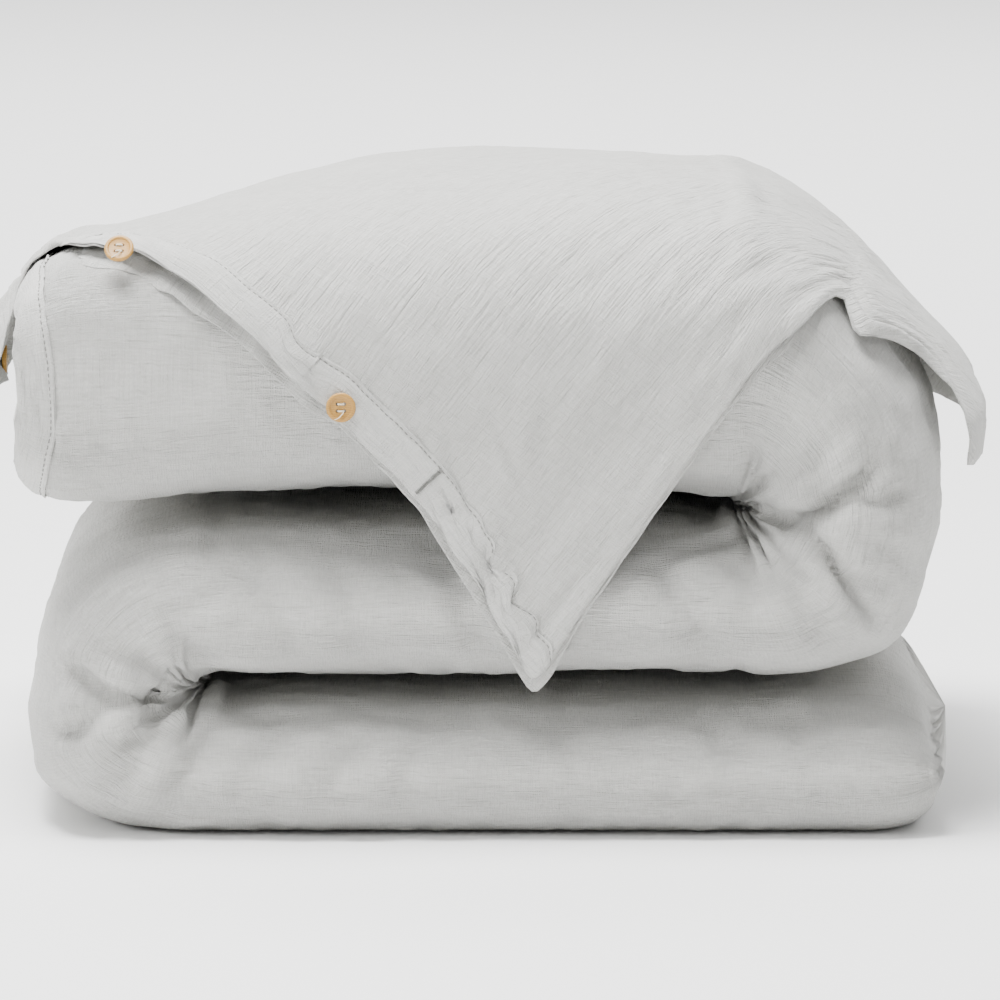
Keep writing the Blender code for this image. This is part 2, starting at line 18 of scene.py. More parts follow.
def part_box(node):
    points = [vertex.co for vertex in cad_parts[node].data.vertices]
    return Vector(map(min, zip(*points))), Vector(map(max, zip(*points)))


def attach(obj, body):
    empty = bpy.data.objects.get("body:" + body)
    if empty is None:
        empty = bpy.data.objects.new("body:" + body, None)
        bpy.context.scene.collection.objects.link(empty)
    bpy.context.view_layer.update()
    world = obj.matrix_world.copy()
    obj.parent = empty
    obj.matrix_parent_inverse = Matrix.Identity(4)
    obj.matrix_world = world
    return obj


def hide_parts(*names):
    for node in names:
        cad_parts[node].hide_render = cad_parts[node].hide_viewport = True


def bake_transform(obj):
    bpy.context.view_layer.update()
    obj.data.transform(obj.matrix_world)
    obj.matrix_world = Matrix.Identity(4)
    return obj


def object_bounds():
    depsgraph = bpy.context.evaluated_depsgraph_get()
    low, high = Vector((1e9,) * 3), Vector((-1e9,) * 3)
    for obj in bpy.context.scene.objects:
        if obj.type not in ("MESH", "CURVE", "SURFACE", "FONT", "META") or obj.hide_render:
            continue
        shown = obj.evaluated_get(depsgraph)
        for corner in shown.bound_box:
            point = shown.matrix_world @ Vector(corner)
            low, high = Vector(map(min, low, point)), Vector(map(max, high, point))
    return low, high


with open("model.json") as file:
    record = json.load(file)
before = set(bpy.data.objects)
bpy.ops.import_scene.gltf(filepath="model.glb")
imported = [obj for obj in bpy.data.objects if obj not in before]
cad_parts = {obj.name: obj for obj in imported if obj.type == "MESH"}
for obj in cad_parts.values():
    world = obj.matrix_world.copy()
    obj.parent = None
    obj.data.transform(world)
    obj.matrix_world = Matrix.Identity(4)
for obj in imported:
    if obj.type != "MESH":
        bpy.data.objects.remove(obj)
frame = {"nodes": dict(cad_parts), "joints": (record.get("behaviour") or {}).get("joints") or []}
cad_low, cad_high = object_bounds()
scene = bpy.context.scene
print("frame box", [round(value, 3) for value in (*cad_low, *cad_high)])

# %% [markdown]
# The camera comes first, because everything is judged through it. A long lens from a few metres
# away, looking a little down, keeps the layers' edges nearly level.

# %% Camera
CAMERA_RAISE = math.radians(8.0)
CAMERA_DISTANCE = 5.0
CAMERA_AIM = Vector((0.004, 0.0, 0.175))
PICTURE_WIDTH = 0.603      # of the plane through the front of the pile
FILM_WIDTH = 36            # millimetres


def add_camera():
    data = bpy.data.cameras.new("camera")
    data.lens = FILM_WIDTH * (CAMERA_DISTANCE + cad_low.y) / PICTURE_WIDTH
    data.sensor_width = FILM_WIDTH
    camera = bpy.data.objects.new("camera", data)
    back = Vector((0, -math.cos(CAMERA_RAISE), math.sin(CAMERA_RAISE)))
    camera.location = CAMERA_AIM + back * CAMERA_DISTANCE
    camera.rotation_euler = (-back).to_track_quat("-Z", "Y").to_euler()
    scene.collection.objects.link(camera)
    scene.camera = camera


add_camera()

# %% [markdown]
# Soft light from a large lamp high above, a little from the left and the front, and a pale floor
# with a lamp of its own. Cloth needs light that rakes down its face, or its folds disappear.

# %% Floor and light
# Each lamp: name, place, target, size in metres, and power in watts.
LAMPS = [
    ("top lamp", (-0.4, -0.35, 2.4), (0, 0, 0.2), (1.3, 1.1), 170),
    ("left lamp", (-2.6, -1.6, 1.4), (0, 0, 0.2), (0.8, 0.8), 46),
    ("front lamp", (1.4, -3.2, 2.2), (0, 0, 0.2), (1.6, 1.6), 18),
    ("backdrop lamp", (0, 4.0, 3.2), (0, 4.3, 0), (7, 5), 520),
]
SKY_STRENGTH = 0.50
FLOOR_WIDTH = 80


def add_area(name, place, target, size, power):
    data = bpy.data.lights.new(name, "AREA")
    data.shape = "RECTANGLE"
    data.size, data.size_y = size
    data.energy = power
    lamp = bpy.data.objects.new(name, data)
    lamp.location = place
    lamp.rotation_euler = (Vector(target) - Vector(place)).to_track_quat("-Z", "Y").to_euler()
    scene.collection.objects.link(lamp)


def add_studio():
    bpy.ops.mesh.primitive_plane_add(size=FLOOR_WIDTH, location=(0, 0, 0))
    floor = bpy.context.object
    floor.name = "studio_floor"
    paint = bpy.data.materials.new("studio floor")
    paint.use_nodes = True
    shader = paint.node_tree.nodes["Principled BSDF"]
    shader.inputs["Base Color"].default_value = (0.95, 0.95, 0.945, 1)
    shader.inputs["Roughness"].default_value = 0.9
    floor.data.materials.append(paint)
    for lamp in LAMPS:
        add_area(*lamp)
    world = bpy.data.worlds.new("studio")
    scene.world = world
    world.use_nodes = True
    sky = world.node_tree.nodes["Background"]
    sky.inputs["Color"].default_value = (1, 1, 1, 1)
    sky.inputs["Strength"].default_value = SKY_STRENGTH


add_studio()

# %% [markdown]
# Small helpers that every cloth uses: smooth lattice noise in plain arrays, a grid of points made
# into a mesh with its cloth coordinates kept as a UV map, and a cloth simulation that is held near
# its start by soft pins, so that it wrinkles without wandering off.

# %% Helpers


def lattice(cells, seed):
    """Repeatable random values, from -1 to 1, on whole-number lattice points."""
    mixed = cells[..., 0] * 374761393 + cells[..., 1] * 668265263 + cells[..., 2] * 2147483647
    mixed = (mixed + seed * 974634777) & 0xFFFFFFFF
    mixed = ((mixed ^ (mixed >> 13)) * 1274126177) & 0xFFFFFFFF
    return ((mixed ^ (mixed >> 16)) & 0xFFFF) / 32767.5 - 1.0


def noise(points, wavelength, seed):
    """Smooth noise at points, with a wavelength for each axis or one for all."""
    scaled = np.asarray(points, float) / np.asarray(wavelength, float)
    cell = np.floor(scaled).astype(np.int64)
    part = scaled - cell
    part = part * part * (3 - 2 * part)
    total = 0.0
    for corner in range(8):
        step = np.array([corner & 1, corner >> 1 & 1, corner >> 2 & 1])
        share = np.prod(np.where(step == 1, part, 1 - part), axis=-1)
        total = total + lattice(cell + step, seed) * share
    return total


def smooth(low, high, value):
    share = np.clip((np.asarray(value, float) - low) / (high - low), 0, 1)
    return share * share * (3 - 2 * share)


def signed_power(value, power):
    return np.sign(value) * np.abs(value) ** power


def grid_piece(name, points, marks, closed=False, close_start=False):
    """A mesh from a grid of points; marks are the cloth's own coordinates in metres."""
    rows, columns = points.shape[:2]
    verts = points.reshape(-1, 3).tolist()
    faces = []
    corner_marks = []
    wide = columns if closed else columns - 1
    wrap = marks[:, -1:] + (marks[:, -1:] - marks[:, :1]) / (columns - 1)
    spread = np.concatenate((marks, wrap), axis=1)
    for row in range(rows - 1):
        for column in range(wide):
            after = (column + 1) % columns
            faces.append((row * columns + column, row * columns + after,
                          (row + 1) * columns + after, (row + 1) * columns + column))
            corner_marks += [spread[row, column], spread[row, column + 1],
                             spread[row + 1, column + 1], spread[row + 1, column]]
    if close_start:
        verts.append(points[0].mean(axis=0).tolist())
        for column in range(columns):
            faces.append((len(verts) - 1, (column + 1) % columns, column))
            corner_marks += [marks[0, column]] * 3
    mesh = bpy.data.meshes.new(name)
    mesh.from_pydata(verts, [], faces)
    layer = mesh.uv_layers.new(name="cloth")
    layer.data.foreach_set("uv", np.array(corner_marks, np.float32).ravel())
    mesh.shade_smooth()
    piece = bpy.data.objects.new(name, mesh)
    scene.collection.objects.link(piece)
    return piece


def face_out(piece, inside):
    """Turn a skin's faces away from a point that lies behind it."""
    mesh = piece.data
    centre = np.zeros(len(mesh.polygons) * 3)
    normal = np.zeros(len(mesh.polygons) * 3)
    mesh.polygons.foreach_get("center", centre)
    mesh.polygons.foreach_get("normal", normal)
    side = ((centre.reshape(-1, 3) - np.array(inside)) * normal.reshape(-1, 3)).sum()
    if side < 0:
        mesh.flip_normals()


def get_points(piece):
    values = np.zeros(len(piece.data.vertices) * 3, np.float32)
    piece.data.vertices.foreach_get("co", values)
    return values.reshape(-1, 3).astype(float)


def set_points(piece, points):
    piece.data.vertices.foreach_set("co", np.ascontiguousarray(points, np.float32).ravel())
    piece.data.update()


def get_normals(piece):
    values = np.zeros(len(piece.data.vertices) * 3, np.float32)
    piece.data.vertices.foreach_get("normal", values)
    return values.reshape(-1, 3).astype(float)


def weigh(piece, name, weights):
    """Store a weight from 0 to 1 for each vertex, in 20 steps."""
    group = piece.vertex_groups.new(name=name)
    steps = np.round(np.clip(weights, 0, 1) * 20).astype(int)
    for step in np.unique(steps):
        group.add(np.nonzero(steps == step)[0].tolist(), step / 20, "REPLACE")


def apply_modifiers(piece):
    """Bake a piece's modifiers into its mesh."""
    bpy.context.view_layer.update()
    graph = bpy.context.evaluated_depsgraph_get()
    mesh = bpy.data.meshes.new_from_object(piece.evaluated_get(graph), depsgraph=graph)
    old = piece.data
    piece.modifiers.clear()
    piece.data = mesh
    bpy.data.meshes.remove(old)
    mesh.name = piece.name


def settle(piece, frames, hold, loose, reach, slack, bending, pressure=0.0, gravity=0.0,
           lies_on=()):
    """Let a cloth wrinkle: soft pins hold it near its start, and loose parts get extra cloth."""
    start = get_points(piece)
    weigh(piece, "hold", hold)
    weigh(piece, "loose", loose)
    cloth = piece.modifiers.new("cloth", "CLOTH")
    settings = cloth.settings
    settings.quality = 5
    settings.mass = 0.15
    settings.tension_stiffness = 12
    settings.compression_stiffness = 12
    settings.shear_stiffness = 5
    settings.bending_stiffness = bending
    settings.air_damping = 2
    settings.vertex_group_mass = "hold"
    settings.pin_stiffness = 1.0
    settings.vertex_group_shrink = "loose"
    settings.shrink_min = -slack[0]
    settings.shrink_max = -slack[1]
    settings.use_pressure = pressure != 0
    settings.uniform_pressure_force = pressure
    settings.effector_weights.gravity = gravity
    contact = cloth.collision_settings
    contact.use_self_collision = True
    contact.self_distance_min = 0.003
    contact.use_collision = bool(lies_on)
    contact.distance_min = 0.002
    for other in lies_on:
        other.modifiers.new("collision", "COLLISION")
        other.collision.thickness_outer = 0.002
    cloth.point_cache.frame_start = 1
    cloth.point_cache.frame_end = frames
    for step in range(1, frames + 1):
        scene.frame_set(step)
    apply_modifiers(piece)
    for other in lies_on:
        other.modifiers.remove(other.modifiers["collision"])
    scene.frame_set(1)
    moved = get_points(piece) - start
    far = np.linalg.norm(moved, axis=1, keepdims=True)
    print(piece.name, "settled: mean move", round(float(far.mean()) * 1000, 1), "mm, most",
          round(float(far.max()) * 1000, 1), "mm")
    set_points(piece, start + moved * np.minimum(1, reach / np.maximum(far, 1e-9)))
    piece.vertex_groups.clear()


# %% [markdown]
# The layers' heights come from the frame: a ray dropped through the cover crosses each layer's
# outer face, inner face, inner face and outer face, so every fourth pair of hits is one layer.

# %% Layers


def layer_heights():
    cover = frame["nodes"]["cover_body"]
    tree = BVHTree.FromPolygons([vert.co for vert in cover.data.vertices],
                                [poly.vertices for poly in cover.data.polygons])
    hits = []
    start = Vector((0.011, 0.013, 1))
    for _ in range(40):
        place = tree.ray_cast(start, Vector((0, 0, -1)))[0]
        if place is None:
            break
        hits.append(place.z)
        start = place - Vector((0, 0, 0.0002))
    hits.sort()
    return [(hits[index], hits[index + 3]) for index in (0, 4, 8)]


layers = layer_heights()
cover_low, cover_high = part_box("cover_body")
mouth_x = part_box("buttonhole_band")[0].x
crown_height = 0.033       # how far the frame's top layer rises in its middle
bottom_thick, middle_thick = [high - low for low, high in layers[:2]]
top_thick = layers[2][1] - layers[2][0] - crown_height
half_depth = (cover_high.y - cover_low.y) / 2
half_gap = (layers[1][0] - layers[0][1]) / 2
low_fold_z = layers[0][1] + half_gap
high_fold_z = layers[1][1] + half_gap
top_z = layers[2][0] + top_thick / 2
left_fold_x = cover_low.x + (bottom_thick + middle_thick) / 2 + half_gap
right_fold_x = cover_high.x - (middle_thick + top_thick) / 2 - half_gap
closed_end_x = cover_high.x - 0.004
print("layers", [(round(low, 4), round(high, 4)) for low, high in layers])

# %% [markdown]
# The filled duvet is one long soft tube, folded twice. A row of rings follows its centre line:
# straight through the bottom layer, round the left fold, back through the middle layer, round the
# right fold and out through the top layer. Each ring is a box with round edges, drawn fuller on
# the outside of a fold. The alternative, one pillow for each layer, would miss the folds' noses.

# %% The folded centre line
END_ROUND = 0.046
MOUTH_ROUND = 0.034
STEP = 0.0085


def centre_line():
    """Columns: x, z, normal x, normal z, half thickness, draw-in at front and back, stretch."""
    rows = []
    half = bottom_thick / 2
    middle_z = half
    for turn in np.radians(np.linspace(80, 0, 8)):
        x = closed_end_x - END_ROUND * (1 - math.sin(turn))
        draw = END_ROUND * 0.45 * (1 - math.cos(turn))
        rows.append((x, middle_z, 0, 1, half * math.cos(turn) ** 0.8, draw))
    for x in np.arange(closed_end_x - END_ROUND - STEP, left_fold_x + STEP / 2, -STEP):
        rows.append((x, middle_z, 0, 1, half, 0))
    for share in np.linspace(0, 1, 25):
        turn = math.pi * share
        half = bottom_thick / 2 + (middle_thick - bottom_thick) / 2 * share
        reach = half + half_gap
        x = left_fold_x - reach * math.sin(turn)
        z = low_fold_z - reach * math.cos(turn)
        rows.append((x, z, math.sin(turn), math.cos(turn), half, 0))
    z = low_fold_z + half_gap + middle_thick / 2
    for x in np.arange(left_fold_x + STEP, right_fold_x - STEP / 2, STEP):
        rows.append((x, z, 0, -1, half, 0))
    for share in np.linspace(0, 1, 29):
        turn = math.pi * share
        half = middle_thick / 2 + (top_thick - middle_thick) / 2 * share
        reach = half + half_gap
        x = right_fold_x + reach * math.sin(turn)
        z = high_fold_z - reach * math.cos(turn)
        rows.append((x, z, math.sin(turn), -math.cos(turn), half, 0))
    for x in np.arange(right_fold_x - STEP, mouth_x + MOUTH_ROUND, -STEP):
        rows.append((x, top_z, 0, 1, half, 0))
    for turn in np.radians(np.linspace(0, 78, 7)):
        x = mouth_x + MOUTH_ROUND * (1 - math.sin(turn))
        rows.append((x, top_z, 0, 1, half * (0.66 + 0.34 * math.cos(turn)),
                     MOUTH_ROUND * 0.3 * (1 - math.cos(turn))))
    return np.array(rows)


def even_turns(count, depth, height, power):
    """Angles that space points evenly round a round-edged box."""
    turn = np.linspace(0, 2 * math.pi, 4001)
    y = depth * signed_power(np.cos(turn), 2 / power)
    z = height * signed_power(np.sin(turn), 2 / power)
    length = np.concatenate(([0], np.cumsum(np.hypot(np.diff(y), np.diff(z)))))
    wanted = (np.arange(count) + 0.5) / count * length[-1]
    return np.interp(wanted, length, turn), length[-1]


EDGE_POWER = 3.2           # 2 is an ellipse, larger is boxier
MOUTH_POWER = 4.6
CROWN_EXTRA = 0.006
RING_COUNT = 132


def crown(x):
    """Extra height of the top layer: most in the middle, none at its ends."""
    share = (x - (cover_high.x + mouth_x) / 2) / ((cover_high.x - mouth_x) / 2)
    return (crown_height + CROWN_EXTRA) * np.clip(1 - np.abs(share) ** 2.5, 0, 1)


def press_down(points):
    """Weight spreads the lower half of each fold outwards and flattens the underside."""
    pressed = points.copy()
    x, z = points[..., 0], points[..., 2]
    at_left = smooth(0.0, 0.075, left_fold_x - x) * (1 - smooth(0.0, low_fold_z + 0.012, z))
    at_end = smooth(0.060, 0.0, closed_end_x - x) * (1 - smooth(0.0, 0.07, z))
    low_right = (1 - smooth(low_fold_z + 0.012, high_fold_z - 0.018, z)) * (z > low_fold_z)
    at_right = smooth(0.0, 0.08, x - right_fold_x) * low_right
    pressed[..., 0] += 0.006 * at_end + 0.022 * at_right - 0.028 * at_left
    pressed[..., 0] -= 0.005 * smooth(0.0, 0.075, left_fold_x - x) * (z < high_fold_z)
    pressed[..., 2] -= 0.013 * (1 - smooth(0.0, 0.055, z))
    heights = [0, low_fold_z, high_fold_z, high_fold_z + 0.06, 1]
    pressed[..., 2] = np.interp(pressed[..., 2], heights, [0, low_fold_z - 0.008,
                                                           high_fold_z - 0.008, *heights[3:]])
    return pressed


def lean_pile(points):
    """The top of the pile sags towards its open end, and towards the back."""
    leaning = points.copy()
    left = 1 - smooth(-0.25, -0.02, points[..., 0])
    rise = np.clip((points[..., 2] - top_z) / (top_thick / 2), 0, None)
    slope = 0.012 + 0.055 * left
    leaning[..., 2] -= rise * (0.006 * left + slope * (points[..., 1] + 0.2))
    return leaning


def folded_rings(line, inset, count=RING_COUNT):
    """Rings along a centre line, drawn in by an inset, with their cloth coordinates."""
    turns, girth = even_turns(count, half_depth, middle_thick / 2, EDGE_POWER)
    x, z, normal_x, normal_z, half, draw = [line[:, [index]] for index in range(6)]
    boxy = np.where(z >= top_z - 1e-6, 1 - smooth(-0.27, -0.12, x), 0)
    power = EDGE_POWER + (MOUTH_POWER - EDGE_POWER) * boxy
    across = signed_power(np.cos(turns)[None, :], 2 / power)
    lift = signed_power(np.sin(turns)[None, :], 2 / power)
    y = (half_depth - draw - inset) * across
    height = (half - inset) * lift
    points = np.stack(np.broadcast_arrays(x + normal_x * height, y, z + normal_z * height), -1)
    rise = np.clip(points[..., 2] - top_z, 0, None) / (top_thick / 2)
    points[..., 2] += crown(points[..., 0]) * rise
    points = press_down(lean_pile(points))
    along = np.concatenate(([0], np.cumsum(np.hypot(np.diff(line[:, 0]), np.diff(line[:, 1])))))
    marks = np.stack(np.broadcast_arrays(along[:, None], (turns / (2 * math.pi) * girth)[None, :]),
                     -1)
    return points, marks


line = centre_line()
stack_points, stack_marks = folded_rings(line, 0.0)
print("cover grid", stack_points.shape[:2], "length", round(float(stack_marks[-1, 0, 0]), 3))

# %% [markdown]
# Where a thick duvet turns back on itself, the cloth on the inside has nowhere to go and gathers
# into creases that fan out from the mouth of the fold. The longest of them are placed one by one,
# as grooves with a swollen bank beside them, and are pressed in once the cover has settled; the
# simulation makes the small ones.

# %% Creases and drag folds
# Each crease: points (x, z) on the front face, depth and half width, in metres.
CREASES = [
    # the right fold's mouth
    ([(0.15, 0.203), (0.172, 0.195), (0.188, 0.197), (0.198, 0.202), (0.213, 0.216),
      (0.226, 0.224), (0.229, 0.235)], 0.02, 0.006),
    ([(0.223, 0.209), (0.235, 0.208), (0.252, 0.213)], 0.008, 0.0045),
    ([(0.227, 0.191), (0.242, 0.188), (0.261, 0.189)], -0.0025, 0.005),
    ([(0.246, 0.261), (0.252, 0.252), (0.258, 0.242)], 0.005, 0.0045),
    ([(0.192, 0.189), (0.203, 0.174), (0.215, 0.155), (0.236, 0.132)], 0.014, 0.005),
    ([(0.216, 0.163), (0.231, 0.159)], 0.006, 0.005),
    ([(0.158, 0.239), (0.158, 0.224), (0.163, 0.209)], 0.0045, 0.0055),
    ([(0.199, 0.232), (0.194, 0.209)], 0.005, 0.006),
    ([(0.209, 0.256), (0.198, 0.238)], 0.003, 0.007),
    # drag folds in the middle layer
    ([(0.096, 0.174), (0.105, 0.16), (0.122, 0.132), (0.143, 0.11)], 0.0055, 0.0075),
    ([(0.137, 0.183), (0.154, 0.158)], 0.004, 0.007),
    ([(0.179, 0.161), (0.189, 0.142), (0.204, 0.119)], 0.0045, 0.0075),
    ([(-0.038, 0.195), (-0.023, 0.155), (-0.009, 0.104)], 0.0045, 0.0085),
    ([(-0.014, 0.149), (0.002, 0.104)], 0.004, 0.007),
    ([(-0.156, 0.174), (-0.133, 0.142), (-0.114, 0.1)], 0.0035, 0.01),
    ([(-0.099, 0.174), (-0.085, 0.143), (-0.073, 0.104)], 0.003, 0.01),
    ([(-0.192, 0.13), (-0.182, 0.113), (-0.168, 0.097)], 0.005, 0.008),
    # the left fold's mouth
    ([(-0.185, 0.094), (-0.194, 0.098), (-0.202, 0.087), (-0.225, 0.089),
      (-0.247, 0.093)], 0.013, 0.0055),
    ([(-0.263, 0.103), (-0.252, 0.104), (-0.236, 0.095)], 0.006, 0.005),
    ([(-0.269, 0.065), (-0.257, 0.067), (-0.232, 0.083)], 0.007, 0.0055),
    ([(-0.229, 0.053), (-0.216, 0.071), (-0.201, 0.086)], 0.008, 0.0055),
    ([(-0.236, 0.032), (-0.22, 0.044), (-0.207, 0.067), (-0.196, 0.088)], 0.007, 0.006),
    ([(-0.226, 0.12), (-0.208, 0.109), (-0.19, 0.098)], 0.0055, 0.0065),
    # soft folds in the bottom layer
    ([(-0.168, 0.081), (-0.183, 0.049), (-0.198, 0.027)], 0.005, 0.0085),
    ([(-0.114, 0.085), (-0.14, 0.052), (-0.158, 0.027)], 0.004, 0.01),
    ([(-0.065, 0.086), (-0.089, 0.052), (-0.106, 0.027)], 0.004, 0.01),
    ([(-0.026, 0.086), (-0.047, 0.058), (-0.061, 0.033)], 0.003, 0.01),
    ([(0.125, 0.085), (0.149, 0.052), (0.161, 0.027)], 0.0025, 0.012),
    # the pinched hem at the open end
    ([(-0.27, 0.264), (-0.27, 0.241)], 0.006, 0.0035),
]


def distance_to_line(flat, route):
    """Distance from 2-D points to a broken line, and how far along it they lie, 0 to 1."""
    best = np.full(len(flat), 9.0)
    where = np.zeros(len(flat))
    route = np.array(route)
    for index, (start, end) in enumerate(zip(route, route[1:])):
        span = end - start
        share = np.clip(((flat - start) @ span) / (span @ span), 0, 1)
        gap = np.linalg.norm(flat - (start + share[:, None] * span), axis=1)
        nearer = gap < best
        best = np.where(nearer, gap, best)
        where = np.where(nearer, (index + share) / (len(route) - 1), where)
    return best, where


def crease(points, normals, side):
    """Press the creases into the front face, or mirrored and shifted ones into the back."""
    moved = points.copy()
    facing = smooth(0.25, 0.75, side * -normals[:, 1])
    shift = 0.0 if side > 0 else 0.013
    flat = np.stack((points[:, 0] + shift, points[:, 2]), axis=1)
    for route, depth, width in CREASES:
        gap, share = distance_to_line(flat, route)
        fade = 1 - 0.6 * np.abs(2 * share - 1) ** 3
        groove = -depth * np.exp(-(gap / width) ** 1.6)
        bank = np.clip(depth * 0.35, -0.001, 0.0025) * np.exp(-(gap / width / 1.3 - 1.8) ** 2)
        moved += normals * ((groove + bank) * fade * facing)[:, None]
    return moved


def make_cover():
    cover = grid_piece("duvet_cover", stack_points, stack_marks, closed=True, close_start=True)
    face_out(cover, (0, 0, top_z))
    points = get_points(cover)
    normals = get_normals(cover)
    waves = 0.0030 * noise(points + 3.1, (0.11, 0.13, 0.07), 5)
    waves += 0.0016 * noise(points, (0.045, 0.06, 0.035), 9)
    resting = smooth(0.0, 0.03, points[:, 2])
    points += normals * (waves * resting)[:, None]
    points[:, 2] = np.clip(points[:, 2], 0.0, None)
    set_points(cover, points)
    return cover


cover = make_cover()


def fold_looseness(points):
    """How much the cloth is gathered: most at the mouths of the two folds, at front and back."""
    near_left = np.hypot(points[:, 0] - left_fold_x + 0.02, points[:, 2] - low_fold_z)
    near_right = np.hypot(points[:, 0] - right_fold_x - 0.03, points[:, 2] - high_fold_z)
    gathered = np.exp(-(near_left / 0.055) ** 2) + np.exp(-(near_right / 0.065) ** 2)
    return np.clip(gathered, 0, 1)


def settle_cover():
    points = get_points(cover)
    loose = fold_looseness(points)
    hold = 0.42 - 0.12 * loose
    hold = np.where(points[:, 2] < 0.004, 0.8, hold)
    closed_end = smooth(line[0][0] - 0.07, line[0][0] - 0.02, points[:, 0])
    hold = np.where(points[:, 2] < low_fold_z, hold + (0.95 - hold) * closed_end, hold)
    settle(cover, 14, hold, loose, 0.014, pressure=2.0, slack=(0.035, 0.22), bending=0.15)
    points = get_points(cover)
    points[:, 2] = np.clip(points[:, 2], 0.0, None)
    set_points(cover, points)


settle_cover()
ring_points = stack_points.shape[0] * RING_COUNT
settled_cover = get_points(cover)[:ring_points].reshape(stack_points.shape)
settled_normals = get_normals(cover)[:ring_points].reshape(stack_points.shape)

# %% [markdown]
# The empty end of the cover lies over the top like a tablecloth: it drops over the open end on the
# left, stands out past the fold on the right, and its front corner hangs. A spine runs from left
# to right over the top; across it, each profile runs from the back edge, over, and down the front
# until it meets the edge of the cloth. One grid carries the whole sheet, so the corner has no
# seam where it leaves the top, and the one sheet stands for both of the frame's bodies.

# %% The turned-back cover
SHEET_POWER = 3.1
SHEET_LIFT = 0.0045        # above the top layer
SHEET_COLUMNS = 118
LEFT_ROUND = 0.040         # over the open end
NO_LIMIT = -0.30           # farther forward than any cloth

top_low, top_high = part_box("turned_back_top")
corner_low, corner_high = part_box("corner_front_ply")
hinge = next(joint for joint in frame["joints"] if joint["name"] == "flap_lift")
hinge_y, hinge_z = hinge["pos_m"][1:]
side_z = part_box("side_button_band")[0].z
corner_mesh = frame["nodes"]["corner_front_ply"]
tip_x = float(np.mean([vert.co.x for vert in corner_mesh.data.vertices
                       if vert.co.z < corner_low.z + 0.0005]))
print("tip", round(tip_x, 4), round(corner_low.z, 4), "hinge", round(hinge_y, 4))

# The hem and the side edge, as shares of the way from the tip to each end of the hinge.
HEM_BENDS = [(0.0, 0.0), (0.074, 0.135), (0.242, 0.425), (0.402, 0.604), (0.496, 0.687),
             (0.586, 0.791), (0.694, 0.885), (0.761, 0.921), (0.835, 0.939), (0.915, 0.946),
             (1.0, 0.963)]
SIDE_BENDS = [(0.0, 0.0), (0.085, 0.061), (0.101, 0.112), (0.334, 0.357), (0.577, 0.604),
              (0.716, 0.741), (0.848, 0.813), (0.959, 0.880), (1.0, 0.905)]


def seen_height(y, z):
    """Height as it is seen from slightly above: what lies farther back looks higher."""
    return z * math.cos(CAMERA_RAISE) + y * math.sin(CAMERA_RAISE)


def edge_height(x):
    """The seen height of the cloth's front edge at x."""
    low = seen_height(-half_depth, corner_low.z)
    high = seen_height(hinge_y, hinge_z - 0.028)
    hem_x, hem_h = zip(*HEM_BENDS)
    side_x, side_h = zip(*SIDE_BENDS)
    left = np.interp((tip_x - x) / (tip_x - corner_low.x), hem_x, hem_h)
    right = np.interp((x - tip_x) / (corner_high.x - tip_x), side_x, side_h)
    return low + (high - low) * np.where(x < tip_x, left, right)


def layer_top(x):
    return top_thick / 2 + crown(x) + SHEET_LIFT


def turned_spine():
    """From left to right: x and z on the spine, x and z of its front and back, half depth."""
    drop_x = mouth_x - 0.0045
    reach = half_depth + SHEET_LIFT
    rows = []
    for z in np.linspace(side_z, top_z - 0.004, 4):
        rows.append((drop_x, z, drop_x, z, reach - 0.010))
    start_x = drop_x + LEFT_ROUND
    for turn in np.radians(np.linspace(4, 84, 9)):
        x = start_x - LEFT_ROUND * np.cos(turn) ** (2 / 2.5)
        z = top_z + layer_top(start_x) * np.sin(turn) ** (2 / 2.5)
        rows.append((x, z, x, top_z, reach - 0.010 * math.cos(turn)))
    for x in np.arange(start_x, right_fold_x, 0.0062):
        rows.append((x, top_z + layer_top(x), x, top_z, reach))
    end_turn = math.radians(110)
    for turn in np.linspace(math.pi, end_turn, 21)[1:]:
        half = middle_thick / 2 + (top_thick - middle_thick) / 2 * turn / math.pi
        centre = half + half_gap
        outer = centre + half + SHEET_LIFT
        x = right_fold_x + outer * math.sin(turn)
        end_x = right_fold_x + outer * math.sin(end_turn)
        x += (top_high.x + 0.008 - end_x) * (math.sin(turn) / math.sin(end_turn)) ** 2
        z = high_fold_z - outer * math.cos(turn)
        z += crown(x) * min(1, max(0, z - top_z) / (top_thick / 2))
        base = (right_fold_x + centre * math.sin(turn), high_fold_z - centre * math.cos(turn))
        rows.append((x, z, *base, reach))
    for drop in (0.010, 0.020, 0.029):
        rows.append((x - drop * 0.12, z - drop, *base, reach))
    return rows


def profile(row, low_z):
    """A dense profile across one place on the spine: back edge, top, front, and down to low_z."""
    x, z, base_x, base_z, reach = row
    turn = np.linspace(0, math.pi, 261)
    lift = np.abs(np.sin(turn)) ** (2 / SHEET_POWER)
    over = np.stack((base_x + (x - base_x) * lift, reach * signed_power(np.cos(turn),
                     2 / SHEET_POWER), base_z + (z - base_z) * lift), axis=1)
    back_edge = min(top_low.z, base_z - 0.002)
    back = [(base_x, reach, level) for level in np.linspace(back_edge, base_z, 14)[:-1]]
    front = [(base_x, -reach, level) for level in np.linspace(base_z, low_z, 80)[1:]]
    return lean_pile(np.concatenate((back, over, front)))


